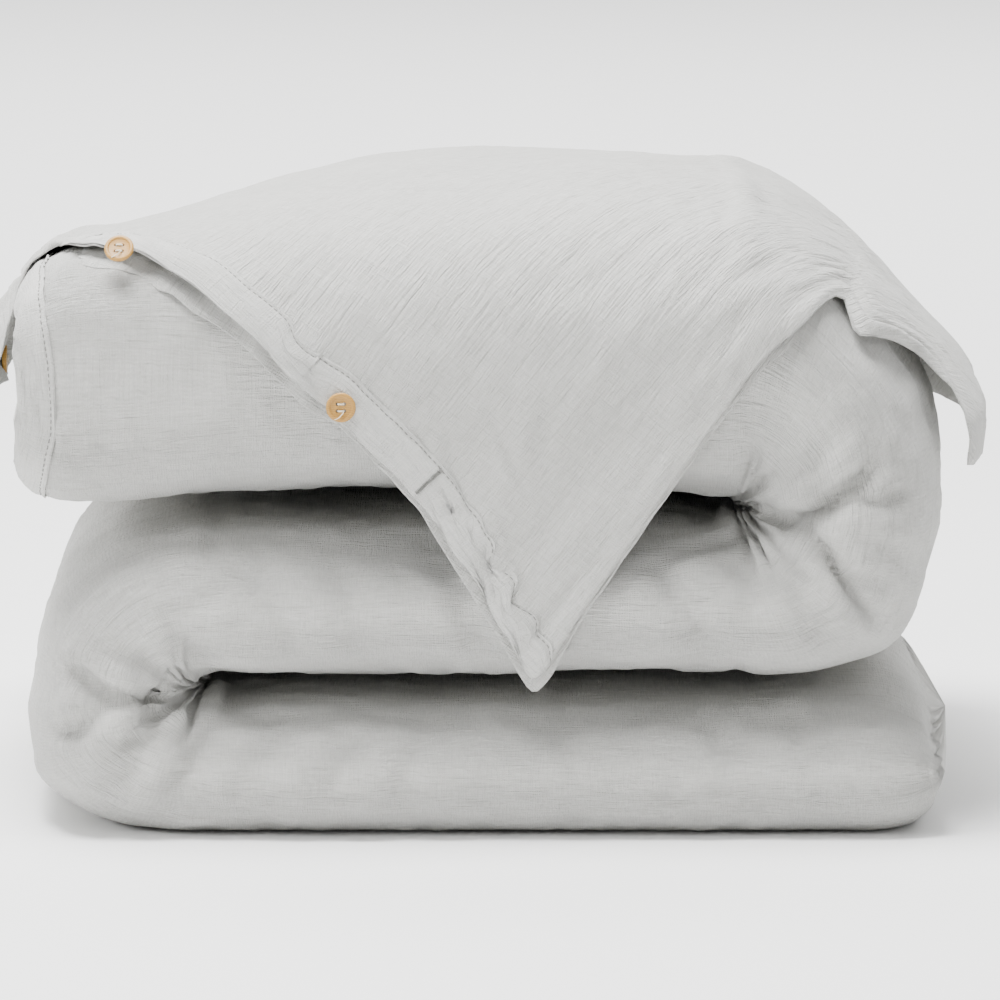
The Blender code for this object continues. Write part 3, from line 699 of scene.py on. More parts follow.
def front_end(points, spread):
    """Index at which a profile meets the cloth's front edge, which a spread lowers."""
    x, y, z = points.T
    behind = np.full(len(points), -9.0)
    corner = (x > corner_low.x + 0.012) & (x < corner_high.x)
    behind = np.where(corner & (y < hinge_y + 0.05),
                      edge_height(x) - spread(x) - seen_height(y, z), behind)
    limit = np.interp(x, [mouth_x, mouth_x + 0.020, corner_low.x + 0.006, corner_low.x + 0.013,
                          corner_high.x - 0.001, corner_high.x, corner_high.x + 0.05],
                      [hinge_y + 0.075, hinge_y + 0.045, hinge_y + 0.006, NO_LIMIT, NO_LIMIT,
                       -0.238, hinge_y + 0.010])
    ends = np.nonzero((behind > 0) | (y < limit))[0]
    return int(ends[0]) if len(ends) else len(points) - 1


def along(points):
    return np.concatenate(([0], np.cumsum(np.linalg.norm(np.diff(points, axis=0), axis=1))))


def no_spread(x):
    return 0.0 * x


def turned_grid(columns, lift=0.0, spread=no_spread, back_limit=None, x_range=(-1, 1)):
    """Rows of evenly spaced points between the back and front edges, with cloth coordinates."""
    rows = []
    marks = []
    spine = turned_spine()
    spine_length = along(np.array(spine)[:, :2])
    for length, row in zip(spine_length, spine):
        if not x_range[0] <= row[0] <= x_range[1]:
            continue
        points = profile(row, corner_low.z - 0.012)
        distance = along(points)
        middle = distance[np.argmin(np.abs(points[:, 1]))]
        end = distance[front_end(points, spread)]
        start = 0.0
        if back_limit is not None:
            start = distance[np.nonzero(points[:, 1] < back_limit)[0][0]]
        wanted = np.linspace(start, end, columns)
        even = [np.interp(wanted, distance, points[:, axis]) for axis in range(3)]
        rows.append(np.stack(even, axis=1))
        marks.append(np.stack((np.full(columns, length), wanted - middle), axis=1))
    rows = np.array(rows)
    rows[..., 1] *= 1 + lift / half_depth
    rows[..., 2] += lift * smooth(top_z - 0.02, top_z + 0.03, rows[..., 2])
    turn = math.radians(52)
    spin = np.array(((math.cos(turn), -math.sin(turn)), (math.sin(turn), math.cos(turn))))
    return rows, np.array(marks) @ spin.T


turned_points, turned_marks = turned_grid(SHEET_COLUMNS)
print("turned-back cover grid", turned_points.shape[:2])

# %% [markdown]
# A sheet that only follows its profile looks like plastic. Before the simulation it gets long
# drag folds that run the way the cloth is pulled, from the right shoulder down to the left, and a
# hem that lifts off the layer below in short waves.

# %% Drag folds, and a settled sheet


def hem_closeness(points, reach):
    """1 at the hem and 0 beyond a reach, for the hanging corner's left edge."""
    above = seen_height(points[..., 1], points[..., 2]) - edge_height(points[..., 0])
    front = smooth(hinge_y + 0.05, hinge_y - 0.01, points[..., 1])
    left = smooth(tip_x + 0.01, tip_x - 0.03, points[..., 0])
    return (1 - smooth(0, reach, above)) * front * left


def drape_noise(marks, points, strength):
    """Long folds along the cloth's own diagonal, strongest over the right shoulder."""
    flat = np.concatenate((marks, np.zeros_like(marks[..., :1])), axis=-1)
    long_folds = noise(flat, (0.19, 0.034, 1), 31)
    short_folds = noise(flat + 3.3, (0.10, 0.017, 1), 37)
    shoulder = smooth(0.02, 0.20, points[..., 0]) * smooth(hinge_z - 0.16, hinge_z - 0.05,
                                                           points[..., 2])
    long_part = 0.0016 + 0.0026 * shoulder
    return strength * (long_part * long_folds + (0.0008 + 0.0012 * shoulder) * short_folds)


def keep_off(piece, trees, gap):
    """Push a sheet's points outwards until they stand a gap off the surfaces under it."""
    points = get_points(piece)
    for tree in trees:
        for index, point in enumerate(points):
            place, normal = tree.find_nearest(Vector(point))[:2]
            depth = (Vector(point) - place).dot(normal)
            if depth < gap:
                points[index] = Vector(point) + normal * (gap - depth)
    set_points(piece, points)


def surface_tree(piece):
    return BVHTree.FromPolygons([vert.co for vert in piece.data.vertices],
                                [poly.vertices for poly in piece.data.polygons])


cover_tree = surface_tree(cover)


def button_frame(number):
    """The frame's turning axis of a button: origin on its back face, z outwards."""
    joint = next(entry for entry in frame["joints"] if entry["name"] == f"button_{number}_twist")
    outward = Vector(joint["axis"]).normalized()
    level = Vector((0, 0, 1)).cross(outward).normalized()
    turn = Matrix((level, outward.cross(level), outward)).transposed().to_4x4()
    return Matrix.Translation(joint["pos_m"]) @ turn


def between_buttons(x):
    """1 where the hem gapes between the two front buttons, and 0 beyond them."""
    first, second = [button_frame(number).translation.x for number in (1, 2)]
    return smooth(first - 0.005, first + 0.03, x) * smooth(second, second - 0.03, x)


def make_sheet(name, points, marks, strength, stand_off):
    piece = grid_piece(name, points, marks)
    face_out(piece, (0, 0, top_z))
    flat_points = get_points(piece)
    normals = get_normals(piece)
    folds = drape_noise(marks, points, strength).reshape(-1)
    gape = 1 + 1.6 * between_buttons(flat_points[:, 0])
    lifted = hem_closeness(flat_points, 0.055) * stand_off * gape
    set_points(piece, flat_points + normals * (folds + lifted)[:, None])
    return piece


sheet = make_sheet("turned_back_cover", turned_points, turned_marks, 1.0, 0.004)


def settle_sheet():
    points = get_points(sheet)
    shoulder = smooth(0.05, 0.2, points[:, 0]) * smooth(hinge_z - 0.16, hinge_z - 0.05,
                                                        points[:, 2])
    hem = hem_closeness(points, 0.06)
    loose = np.clip(0.25 + shoulder, 0, 1) * (1 - hem) * smooth(-0.26, -0.20, points[:, 0])
    settle(sheet, 12, 0.40 - 0.12 * loose, loose, 0.010, gravity=0.4, slack=(0.0, 0.07),
           bending=0.05, lies_on=[cover])


settle_sheet()


def draw_to_buttons(piece, behind):
    """Shift the cloth near each button so that it lies a set distance behind the button."""
    points = get_points(piece)
    for number in (1, 2, 3, 4):
        place = button_frame(number)
        outward = np.array(place.to_3x3().col[2])
        target = np.array(place.translation) - outward * behind[number - 1]
        nearest = points[np.argmin(np.linalg.norm(points - target, axis=1))]
        shift = (target - nearest) @ outward
        reach = np.linalg.norm(points - target, axis=1)
        points += outward * (shift * np.exp(-(reach / 0.030) ** 2))[:, None]
        print("button", number, "draws its cloth", round(shift * 1000, 1), "mm")
    set_points(piece, points)


keep_off(sheet, [cover_tree], 0.0035)
draw_to_buttons(sheet, (0.0066, 0.0042, 0.0042, 0.0042))
keep_off(sheet, [cover_tree], 0.0020)
settled_sheet = get_points(sheet).reshape(turned_points.shape)
sheet_tree = surface_tree(sheet)


def slack_edge(x):
    """How far the under ply's hem hangs below the upper one's: in short uneven waves."""
    flat = np.stack((x, x * 0, x * 0), axis=-1)
    return 0.0045 + between_buttons(x) * (0.0075 + 0.0045 * noise(flat, 0.022, 41))


under_points, under_marks = turned_grid(60, lift=-0.0022, spread=slack_edge,
                                        back_limit=hinge_y + 0.06,
                                        x_range=(corner_low.x + 0.008, corner_high.x - 0.012))
under = make_sheet("under_ply", under_points, under_marks, 0.5, 0.0)


def ruffle_under():
    """The loose hem of the under ply ripples in and out between the buttons."""
    points = get_points(under)
    normals = get_normals(under)
    loose = hem_closeness(points, 0.030) * smooth(tip_x - 0.05, tip_x - 0.11, points[:, 0])
    waves = 0.5 + 0.5 * np.sin(points[:, 0] * 2 * math.pi / 0.030
                               + 3.0 * noise(points, 0.06, 43))
    gape = between_buttons(points[:, 0])
    points += normals * (loose * (0.0015 + 0.0045 * gape) * (waves - 0.35))[:, None]
    set_points(under, points)


ruffle_under()
keep_off(under, [cover_tree], 0.0015)


def tuck_under(piece, tree, gap):
    """Keep a ply's points a gap behind the surface of the ply in front of it."""
    points = get_points(piece)
    for index, point in enumerate(points):
        place, normal, _, distance = tree.find_nearest(Vector(point), 0.02)
        if place is None:
            continue
        depth = (Vector(point) - place).dot(normal)
        if -gap < depth < gap and distance < gap * 1.5:
            points[index] = Vector(point) - normal * (depth + gap)
    set_points(piece, points)


tuck_under(under, sheet_tree, 0.0012)
print("corner tip", [round(float(value), 4) for value in get_points(sheet)[
    np.argmin(get_points(sheet)[:, 2])]])


def thicken(piece, thickness, side):
    shell = piece.modifiers.new("thickness", "SOLIDIFY")
    shell.thickness = thickness
    shell.offset = side
    apply_modifiers(piece)


def bend_at_hinge(piece):
    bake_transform(piece)


# %% [markdown]
# Gauze is two thin plies tacked together, and washing shrinks them unevenly, so the cloth is full
# of short crinkles a few millimetres apart. The larger ones are real geometry here, pressed along
# the normals after one round of subdivision; the smaller ones are left to the material.

# %% Gauze crinkles in the mesh


def subdivide(piece, levels):
    rounder = piece.modifiers.new("rounder", "SUBSURF")
    rounder.levels = levels
    rounder.render_levels = levels
    apply_modifiers(piece)


def cloth_marks(piece):
    """The cloth coordinates of each vertex, from its UV map."""
    mesh = piece.data
    loops = np.zeros(len(mesh.loops), np.int32)
    mesh.loops.foreach_get("vertex_index", loops)
    marks = np.zeros(len(mesh.loops) * 2, np.float32)
    mesh.uv_layers["cloth"].data.foreach_get("uv", marks)
    result = np.zeros((len(mesh.vertices), 3))
    result[loops, :2] = marks.reshape(-1, 2)
    return result


def crinkle(piece, height, seed, floor=None, quiet=None):
    marks = cloth_marks(piece)
    points = get_points(piece)
    normals = get_normals(piece)
    long_ones = noise(marks, (0.060, 0.011, 1), seed)
    short_ones = noise(marks + 7.7, (0.034, 0.009, 1), seed + 3)
    patches = 0.55 + 0.45 * noise(points, 0.09, seed + 5)
    if quiet is not None:
        patches = patches * (1 - 0.8 * quiet(points))
    ridges = (1 - np.abs(long_ones) * 2) * 0.6 + short_ones * 0.5
    points += normals * (height * ridges * patches)[:, None]
    if floor is not None:
        points[:, 2] = np.maximum(points[:, 2], floor)
    set_points(piece, points)


for piece in (cover, sheet, under):
    subdivide(piece, 1)
for side in (1, -1):
    creased = crease(get_points(cover), get_normals(cover), side)
    creased[:, 2] = np.clip(creased[:, 2], 0.0, None)
    set_points(cover, creased)
crinkle(cover, 0.0008, 21, floor=0.0)
crinkle(sheet, 0.0008, 51, quiet=lambda points: hem_closeness(points, 0.05))
crinkle(under, 0.0004, 57)
print("vertices", [len(piece.data.vertices) for piece in (cover, sheet, under)])

# %% [markdown]
# Every hem is a separate folded band sewn onto its cloth. A band is laid out as a strip that
# starts at the cloth's edge and is pressed onto the surface below it, so it follows each wrinkle.
# The row of stitches near its inner edge pulls the band down into short puckers.

# %% Strips that lie on a surface
HEM_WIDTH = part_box("side_button_band")[1].z - side_z
STITCH_LINE = 0.88         # as a share of the hem's width
STITCH = 0.0030
STITCH_GAP = 0.0011
STITCH_THREAD = 0.00042    # radius
CLOTH = 0.0010
BAND_BASE = CLOTH + 0.0008
BAND_BULGE = 0.0012
THREAD_SIDES = 6


def pressed_on(tree, places, lifts):
    """Points moved onto a surface, then lifted off it along its normal."""
    result = np.empty_like(places)
    flat = places.reshape(-1, 3)
    out = result.reshape(-1, 3)
    heights = np.broadcast_to(lifts, places.shape[:-1]).reshape(-1)
    for index, point in enumerate(flat):
        place, normal = tree.find_nearest(Vector(point))[:2]
        out[index] = place + normal * heights[index]
    return result


def resampled(route, step):
    distance = along(route)
    count = max(2, int(round(distance[-1] / step)))
    wanted = np.linspace(0, distance[-1], count)
    return np.stack([np.interp(wanted, distance, route[:, axis]) for axis in range(3)], axis=1)


def inward_directions(tree, edge, inside):
    """Unit directions along a surface, square to its edge, towards a row of inside points."""
    tangent = np.gradient(edge, axis=0)
    tangent /= np.linalg.norm(tangent, axis=1, keepdims=True)
    normals = np.array([tree.find_nearest(Vector(point))[1] for point in edge])
    sideways = np.cross(normals, tangent)
    wanted = inside - edge
    sign = np.sign((sideways * wanted).sum(axis=1, keepdims=True))
    sideways = sideways * sign
    return sideways / np.linalg.norm(sideways, axis=1, keepdims=True)


def band_lift(shares, lengths, bulge):
    """Height profile of a band: full between its edge and the stitch line, puckered beside it."""
    flat = np.stack((lengths, lengths * 0, lengths * 0), axis=-1)
    pucker = noise(flat, 0.0065, 61)
    body = bulge * np.sin(np.pi * np.clip(shares / STITCH_LINE, 0.05, 1)) ** 0.5
    seam = np.exp(-((shares - STITCH_LINE) / 0.05) ** 2)
    near_seam = np.exp(-((shares - STITCH_LINE) / 0.22) ** 2)
    return body - 0.0007 * seam + 0.00022 * near_seam * pucker


def smooth_along(rows, closed):
    """Even out each row of points along its length; an open row's two ends stay in place."""
    for _ in range(3):
        even = (np.roll(rows, 1, axis=1) + rows * 2 + np.roll(rows, -1, axis=1)) / 4
        if not closed:
            even[:, 0], even[:, -1] = rows[:, 0], rows[:, -1]
        rows = even
    return rows


def make_band(name, tree, edge, inside):
    """A hem band along an edge; returns the piece and its stitch line."""
    inward = inward_directions(tree, edge, inside)
    shares = np.array([-0.012, 0.0, 0.03, 0.08, 0.16, 0.28, 0.42, 0.56, 0.70, 0.79, 0.84, 0.88,
                       0.92, 0.96, 1.0])
    places = edge[None] + inward[None] * (shares * HEM_WIDTH)[:, None, None]
    lengths = np.broadcast_to(along(edge)[None], places.shape[:2])
    wide = np.broadcast_to(shares[:, None], places.shape[:2])
    surface = smooth_along(pressed_on(tree, places, BAND_BASE), False)
    outward = smooth_along(pressed_on(tree, places, BAND_BASE + 0.01), False) - surface
    outward /= np.linalg.norm(outward, axis=-1, keepdims=True)
    surface = surface + outward * band_lift(wide, lengths, BAND_BULGE)[..., None]
    piece = grid_piece(name, surface, np.stack((lengths, wide * HEM_WIDTH), axis=-1))
    return piece, surface[int(np.argmin(np.abs(shares - STITCH_LINE)))]


def tubes(name, routes, radius):
    """Round threads along routes, tapered at both ends, in one mesh."""
    verts = []
    faces = []
    sides = THREAD_SIDES
    turn = np.linspace(0, 2 * math.pi, sides, endpoint=False)
    for route in routes:
        route = np.asarray(route, float)
        tangent = np.gradient(route, axis=0)
        tangent /= np.maximum(np.linalg.norm(tangent, axis=1, keepdims=True), 1e-9)
        helper = np.array((0.31, 0.52, 0.79))
        side = np.cross(tangent, helper)
        side /= np.linalg.norm(side, axis=1, keepdims=True)
        other = np.cross(tangent, side)
        taper = np.ones(len(route))
        taper[0] = taper[-1] = 0.45
        start = len(verts)
        for place, first, second, thin in zip(route, side, other, taper):
            ring = place + radius * thin * (np.cos(turn)[:, None] * first
                                            + np.sin(turn)[:, None] * second)
            verts += ring.tolist()
        for row in range(len(route) - 1):
            for column in range(sides):
                after = (column + 1) % sides
                low = start + row * sides
                faces.append((low + column, low + after, low + sides + after,
                              low + sides + column))
        faces.append(tuple(start + column for column in reversed(range(sides))))
        last = start + (len(route) - 1) * sides
        faces.append(tuple(last + column for column in range(sides)))
    mesh = bpy.data.meshes.new(name)
    mesh.from_pydata(verts, [], faces)
    mesh.shade_smooth()
    piece = bpy.data.objects.new(name, mesh)
    scene.collection.objects.link(piece)
    return piece


def running_stitches(name, tree, route):
    """A row of short machine stitches along a route on a surface."""
    fine = resampled(route, 0.0005)
    length = along(fine)
    stitches = []
    start = 0.001
    while start + STITCH < length[-1]:
        wanted = start + STITCH * np.array((0.0, 0.22, 0.5, 0.78, 1.0))
        points = np.stack([np.interp(wanted, length, fine[:, axis]) for axis in range(3)], axis=1)
        arch = np.array((-0.0004, 0.0001, 0.0002, 0.0001, -0.0004))
        stitches.append(pressed_on(tree, points, arch))
        start += STITCH + STITCH_GAP
    return tubes(name, stitches, STITCH_THREAD)


# %% Hems of the turned-back cover
sheet_tree = surface_tree(sheet)
tip_row = int(np.argmin(settled_sheet[:, -1, 2]))
first_row = int(np.argmin(np.abs(turned_points[:, -1, 0] - corner_low.x)))
hem_edge = resampled(settled_sheet[first_row:tip_row + 1, -1], 0.0028)
hem_inside = resampled(settled_sheet[first_row:tip_row + 1, -8], 0.0028)
hem_inside = hem_inside[np.linspace(0, len(hem_inside) - 1, len(hem_edge)).astype(int)]
corner_band, corner_line = make_band("corner_hem", sheet_tree, hem_edge, hem_inside)
side_edge = resampled(settled_sheet[0, 10:-1], 0.0035)
side_inside = side_edge + np.array((0, 0, 0.02))
side_band, side_line = make_band("side_hem", sheet_tree, side_edge, side_inside)
corner_band_tree = surface_tree(corner_band)
side_band_tree = surface_tree(side_band)
corner_stitches = running_stitches("corner_topstitch", corner_band_tree, corner_line)
side_stitches = running_stitches("side_topstitch", side_band_tree, side_line)

# %% [markdown]
# The end of the opening is closed by a bar tack, a narrow zig-zag of thread sewn over itself.

# %% Bar tack


def make_bar_tack():
    low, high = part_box("corner_bar_tack")
    height = (low.z + high.z) / 2
    row = int(np.argmin(np.abs(hem_edge[:, 2] - height)))
    inward = inward_directions(sheet_tree, hem_edge, hem_inside)[row]
    reach = np.linspace(0.10, 0.90, 60)
    run = hem_edge[min(row + 1, len(hem_edge) - 1)] - hem_edge[row]
    run /= np.linalg.norm(run)
    zigzag = 0.0010 * np.where(np.arange(60) % 2 == 0, 1, -1)
    places = hem_edge[row] + inward * (reach * HEM_WIDTH)[:, None] + run * zigzag[:, None]
    return tubes("bar_tack", [pressed_on(corner_band_tree, places, 0.0003)], STITCH_THREAD)


bar_tack = make_bar_tack()

# %% [markdown]
# The open end of the cover has the same hem as a collar, and the comforter shows inside it: a
# plain white pillow of filling, held by rows of box stitching.

# %% The mouth's hem and the comforter
MOUTH_HEM_WIDTH = HEM_WIDTH * 1.1


def make_mouth_band():
    """The collar's hem: it follows the last rings of the cover, just outside them."""
    shares = np.array([-0.012, 0.0, 0.05, 0.15, 0.3, 0.5, 0.70, 0.79, 0.84, 0.88, 0.92, 1.0])
    rings = settled_cover[::-1][:12]
    normals = settled_normals[::-1][:12]
    surface = np.empty((len(shares), RING_COUNT, 3))
    outward = np.empty_like(surface)
    for column in range(RING_COUNT):
        inwards = along(rings[:, column])
        wanted = shares * MOUTH_HEM_WIDTH
        for axis in range(3):
            surface[:, column, axis] = np.interp(wanted, inwards, rings[:, column, axis])
            outward[:, column, axis] = np.interp(wanted, inwards, normals[:, column, axis])
    outward = smooth_along(outward, True)
    lengths = np.broadcast_to(along(rings[0])[None], surface.shape[:2])
    wide = np.broadcast_to(shares[:, None], surface.shape[:2])
    surface += outward * (0.0013 + band_lift(wide, lengths, 0.0008))[..., None]
    piece = grid_piece("mouth_hem", surface, np.stack((lengths, wide * HEM_WIDTH), axis=-1),
                       closed=True)
    return piece, surface[int(np.argmin(np.abs(shares - STITCH_LINE)))]


mouth_band, mouth_line = make_mouth_band()
mouth_tree = surface_tree(mouth_band)
closed_line = np.concatenate((mouth_line, mouth_line[:1]))
mouth_stitches = running_stitches("mouth_topstitch", mouth_tree, closed_line)


def make_comforter():
    inner_line = line[3:-9:2]
    end = []
    start_x = mouth_x + 0.040
    half = top_thick / 2 - 0.004
    for turn in np.radians(np.linspace(0, 86, 12)):
        size = math.cos(turn) ** 0.55
        end.append((start_x - 0.030 * math.sin(turn), top_z, 0, 1, half * size,
                    (half_depth - 0.008) * (1 - size) * 0.55))
    rows = np.concatenate((inner_line, np.array(end)))
    points, marks = folded_rings(rows, 0.006, count=96)
    piece = grid_piece("comforter", points, marks, closed=True, close_start=True)
    face_out(piece, (0, 0, top_z))
    shape = get_points(piece)
    normals = get_normals(piece)
    across_gap = np.abs((shape[:, 1] + 0.06) % 0.12 - 0.06)
    along_gap = np.abs((shape[:, 0] + 0.07) % 0.14 - 0.07)
    valley = np.exp(-(across_gap / 0.009) ** 2) + np.exp(-(along_gap / 0.009) ** 2)
    puff = 0.0015 * noise(shape, 0.03, 71) - 0.0035 * np.clip(valley, 0, 1)
    set_points(piece, shape + normals * (puff - 0.006)[:, None])
    subdivide(piece, 1)
    for side in (1, -1):
        set_points(piece, crease(get_points(piece), get_normals(piece), side))
    return piece


comforter = make_comforter()

# %% [markdown]
# Buttons are turned from pale wood: a dished face, a round rim, four drilled holes and a few
# cream threads through them, with one loose tail. They sit on the frame's turning axes, and the
# cloth behind each is drawn to the button so that the thread stays short.

# %% Buttons
BUTTON_RADIUS = (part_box("button_2")[1].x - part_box("button_2")[0].x) / 2
BUTTON_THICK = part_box("button_2")[1].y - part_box("button_2")[0].y
HOLE_REACH = 0.0021


def button_profile():
    """Half section from the middle of the back, round the rim, to the middle of the dish."""
    rim = 0.0022
    points = [(0, 0.0), (BUTTON_RADIUS - 0.0016, 0.0)]
    for turn in np.radians(np.linspace(-80, 80, 9)):
        points.append((BUTTON_RADIUS - 0.0010 + 0.0010 * math.cos(turn),
                       BUTTON_THICK / 2 + (BUTTON_THICK / 2 - 0.0001) * math.sin(turn)))
    for turn in np.radians(np.linspace(15, 85, 5)):
        points.append((BUTTON_RADIUS - 0.0013 - (rim - 0.0008) * math.sin(turn),
                       BUTTON_THICK - 0.0008 * (1 - math.cos(turn))))
    points += [(BUTTON_RADIUS - 0.0040, BUTTON_THICK - 0.00095), (0.0045, BUTTON_THICK - 0.0010),
               (0, BUTTON_THICK - 0.0010)]
    return points


def make_button(number):
    steps = 72
    outline = button_profile()
    verts = []
    for radius, height in outline[1:-1]:
        for turn in np.linspace(0, 2 * math.pi, steps, endpoint=False):
            verts.append((radius * math.cos(turn), radius * math.sin(turn), height))
    faces = []
    for row in range(len(outline) - 3):
        for column in range(steps):
            after = (column + 1) % steps
            faces.append((row * steps + column, row * steps + after,
                          (row + 1) * steps + after, (row + 1) * steps + column))
    faces.append(tuple(reversed(range(steps))))
    last = (len(outline) - 3) * steps
    faces.append(tuple(last + column for column in range(steps)))
    mesh = bpy.data.meshes.new(f"wooden_button_{number}")
    mesh.from_pydata(verts, [], faces)
    mesh.shade_smooth()
    piece = bpy.data.objects.new(mesh.name, mesh)
    scene.collection.objects.link(piece)
    for index in range(4):
        angle = math.pi / 4 + index * math.pi / 2
        reach = HOLE_REACH * math.sqrt(2)
        bpy.ops.mesh.primitive_cone_add(vertices=24, radius1=0.00085, radius2=0.00125,
                                        depth=BUTTON_THICK * 1.6,
                                        location=(reach * math.cos(angle),
                                                  reach * math.sin(angle), BUTTON_THICK / 2))
        drill = bpy.context.object
        cut = piece.modifiers.new("hole", "BOOLEAN")
        cut.object = drill
        cut.solver = "EXACT"
        bpy.context.view_layer.update()
        apply_modifiers(piece)
        bpy.data.objects.remove(drill, do_unlink=True)
    piece.data.set_sharp_from_angle(angle=math.radians(50))
    piece.matrix_world = button_frame(number)
    return piece


def make_thread(number):
    """Twisted strands through the holes, a wound shank behind and a loose tail in front."""
    face = BUTTON_THICK - 0.0010
    routes = []
    for side in (-HOLE_REACH, HOLE_REACH):
        for strand in range(4):
            phase = strand * math.pi / 2
            share = np.linspace(0, 1, 19)
            arch = 0.00055 * np.sin(math.pi * share) ** 0.6
            twist = share * 2.2 * math.pi + phase
            x = HOLE_REACH * (2 * share - 1)
            y = side + 0.00028 * np.cos(twist)
            z = face + arch + 0.00028 * np.sin(twist)
            z = np.where((share < 0.04) | (share > 0.96), face - 0.0016, z)
            routes.append(np.stack((x, y, z), axis=1))
    turn = np.linspace(0, 5 * 2 * math.pi, 90)
    shank = 0.0009 + (0.0006 if number == 1 else 0)
    coil = np.stack((0.0020 * np.cos(turn), 0.0020 * np.sin(turn),
                     -0.0001 - shank * turn / turn[-1]), axis=1)
    routes.append(coil)
    share = np.linspace(0, 1, 16)
    tail_x = HOLE_REACH - (HOLE_REACH + 0.0040) * share
    tail_y = -HOLE_REACH - 0.0052 * share - 0.0010 * np.sin(math.pi * share)
    tail_z = face + 0.0007 + 0.0010 * np.sin(math.pi * share)
    routes.append(np.stack((tail_x, tail_y, tail_z), axis=1))
    piece = tubes(f"button_stitch_{number}", routes, 0.00030)
    piece.matrix_world = button_frame(number)
    return piece


buttons = [make_button(number) for number in (1, 2, 3, 4)]
button_threads = [make_thread(number) for number in (1, 2, 3, 4)]

# %% [markdown]
# Finishes. Every cloth here is the same gauze, so its weave, its crinkles and the uneven take-up
# of dye are one node group that the materials share, each with its own values. The weave is two
# sets of fine ridges that pass over and under each other, scaled in real millimetres. The group
# also paints shade: its crinkle valleys and the gaps of its weave are coloured darker.

# %% Gauze material
THREAD_PITCH = 0.00145


def new_group(name, inputs, outputs):
    group = bpy.data.node_groups.new(name, "ShaderNodeTree")
    for label, kind, value in inputs:
        socket = group.interface.new_socket(label, in_out="INPUT", socket_type=kind)
        if value is not None:
            socket.default_value = value
    for label, kind in outputs:
        group.interface.new_socket(label, in_out="OUTPUT", socket_type=kind)
    return group, group.nodes.new("NodeGroupInput"), group.nodes.new("NodeGroupOutput")


def maths(tree, operation, first, second=None, third=None):
    node = tree.nodes.new("ShaderNodeMath")
    node.operation = operation
    for index, value in enumerate((first, second, third)):
        if value is None:
            continue
        if isinstance(value, (int, float)):
            node.inputs[index].default_value = value
        else:
            tree.links.new(value, node.inputs[index])
    return node.outputs[0]


def stretched(tree, vector, scale):
    node = tree.nodes.new("ShaderNodeVectorMath")
    node.operation = "MULTIPLY"
    tree.links.new(vector, node.inputs[0])
    node.inputs[1].default_value = scale
    return node.outputs[0]


def noise_node(tree, vector, scale, detail, rough=0.55):
    node = tree.nodes.new("ShaderNodeTexNoise")
    tree.links.new(vector, node.inputs["Vector"])
    node.inputs["Scale"].default_value = scale
    node.inputs["Detail"].default_value = detail
    node.inputs["Roughness"].default_value = rough
    return node.outputs["Fac"]


def mixed_colour(tree, factor, first, second):
    node = tree.nodes.new("ShaderNodeMix")
    node.data_type = "RGBA"
    sockets = [socket for socket in node.inputs if socket.type == "RGBA"]
    tree.links.new(factor, node.inputs["Factor"])
    for socket, value in zip(sockets, (first, second)):
        if isinstance(value, tuple):
            socket.default_value = value
        else:
            tree.links.new(value, socket)
    return [socket for socket in node.outputs if socket.type == "RGBA"][0]


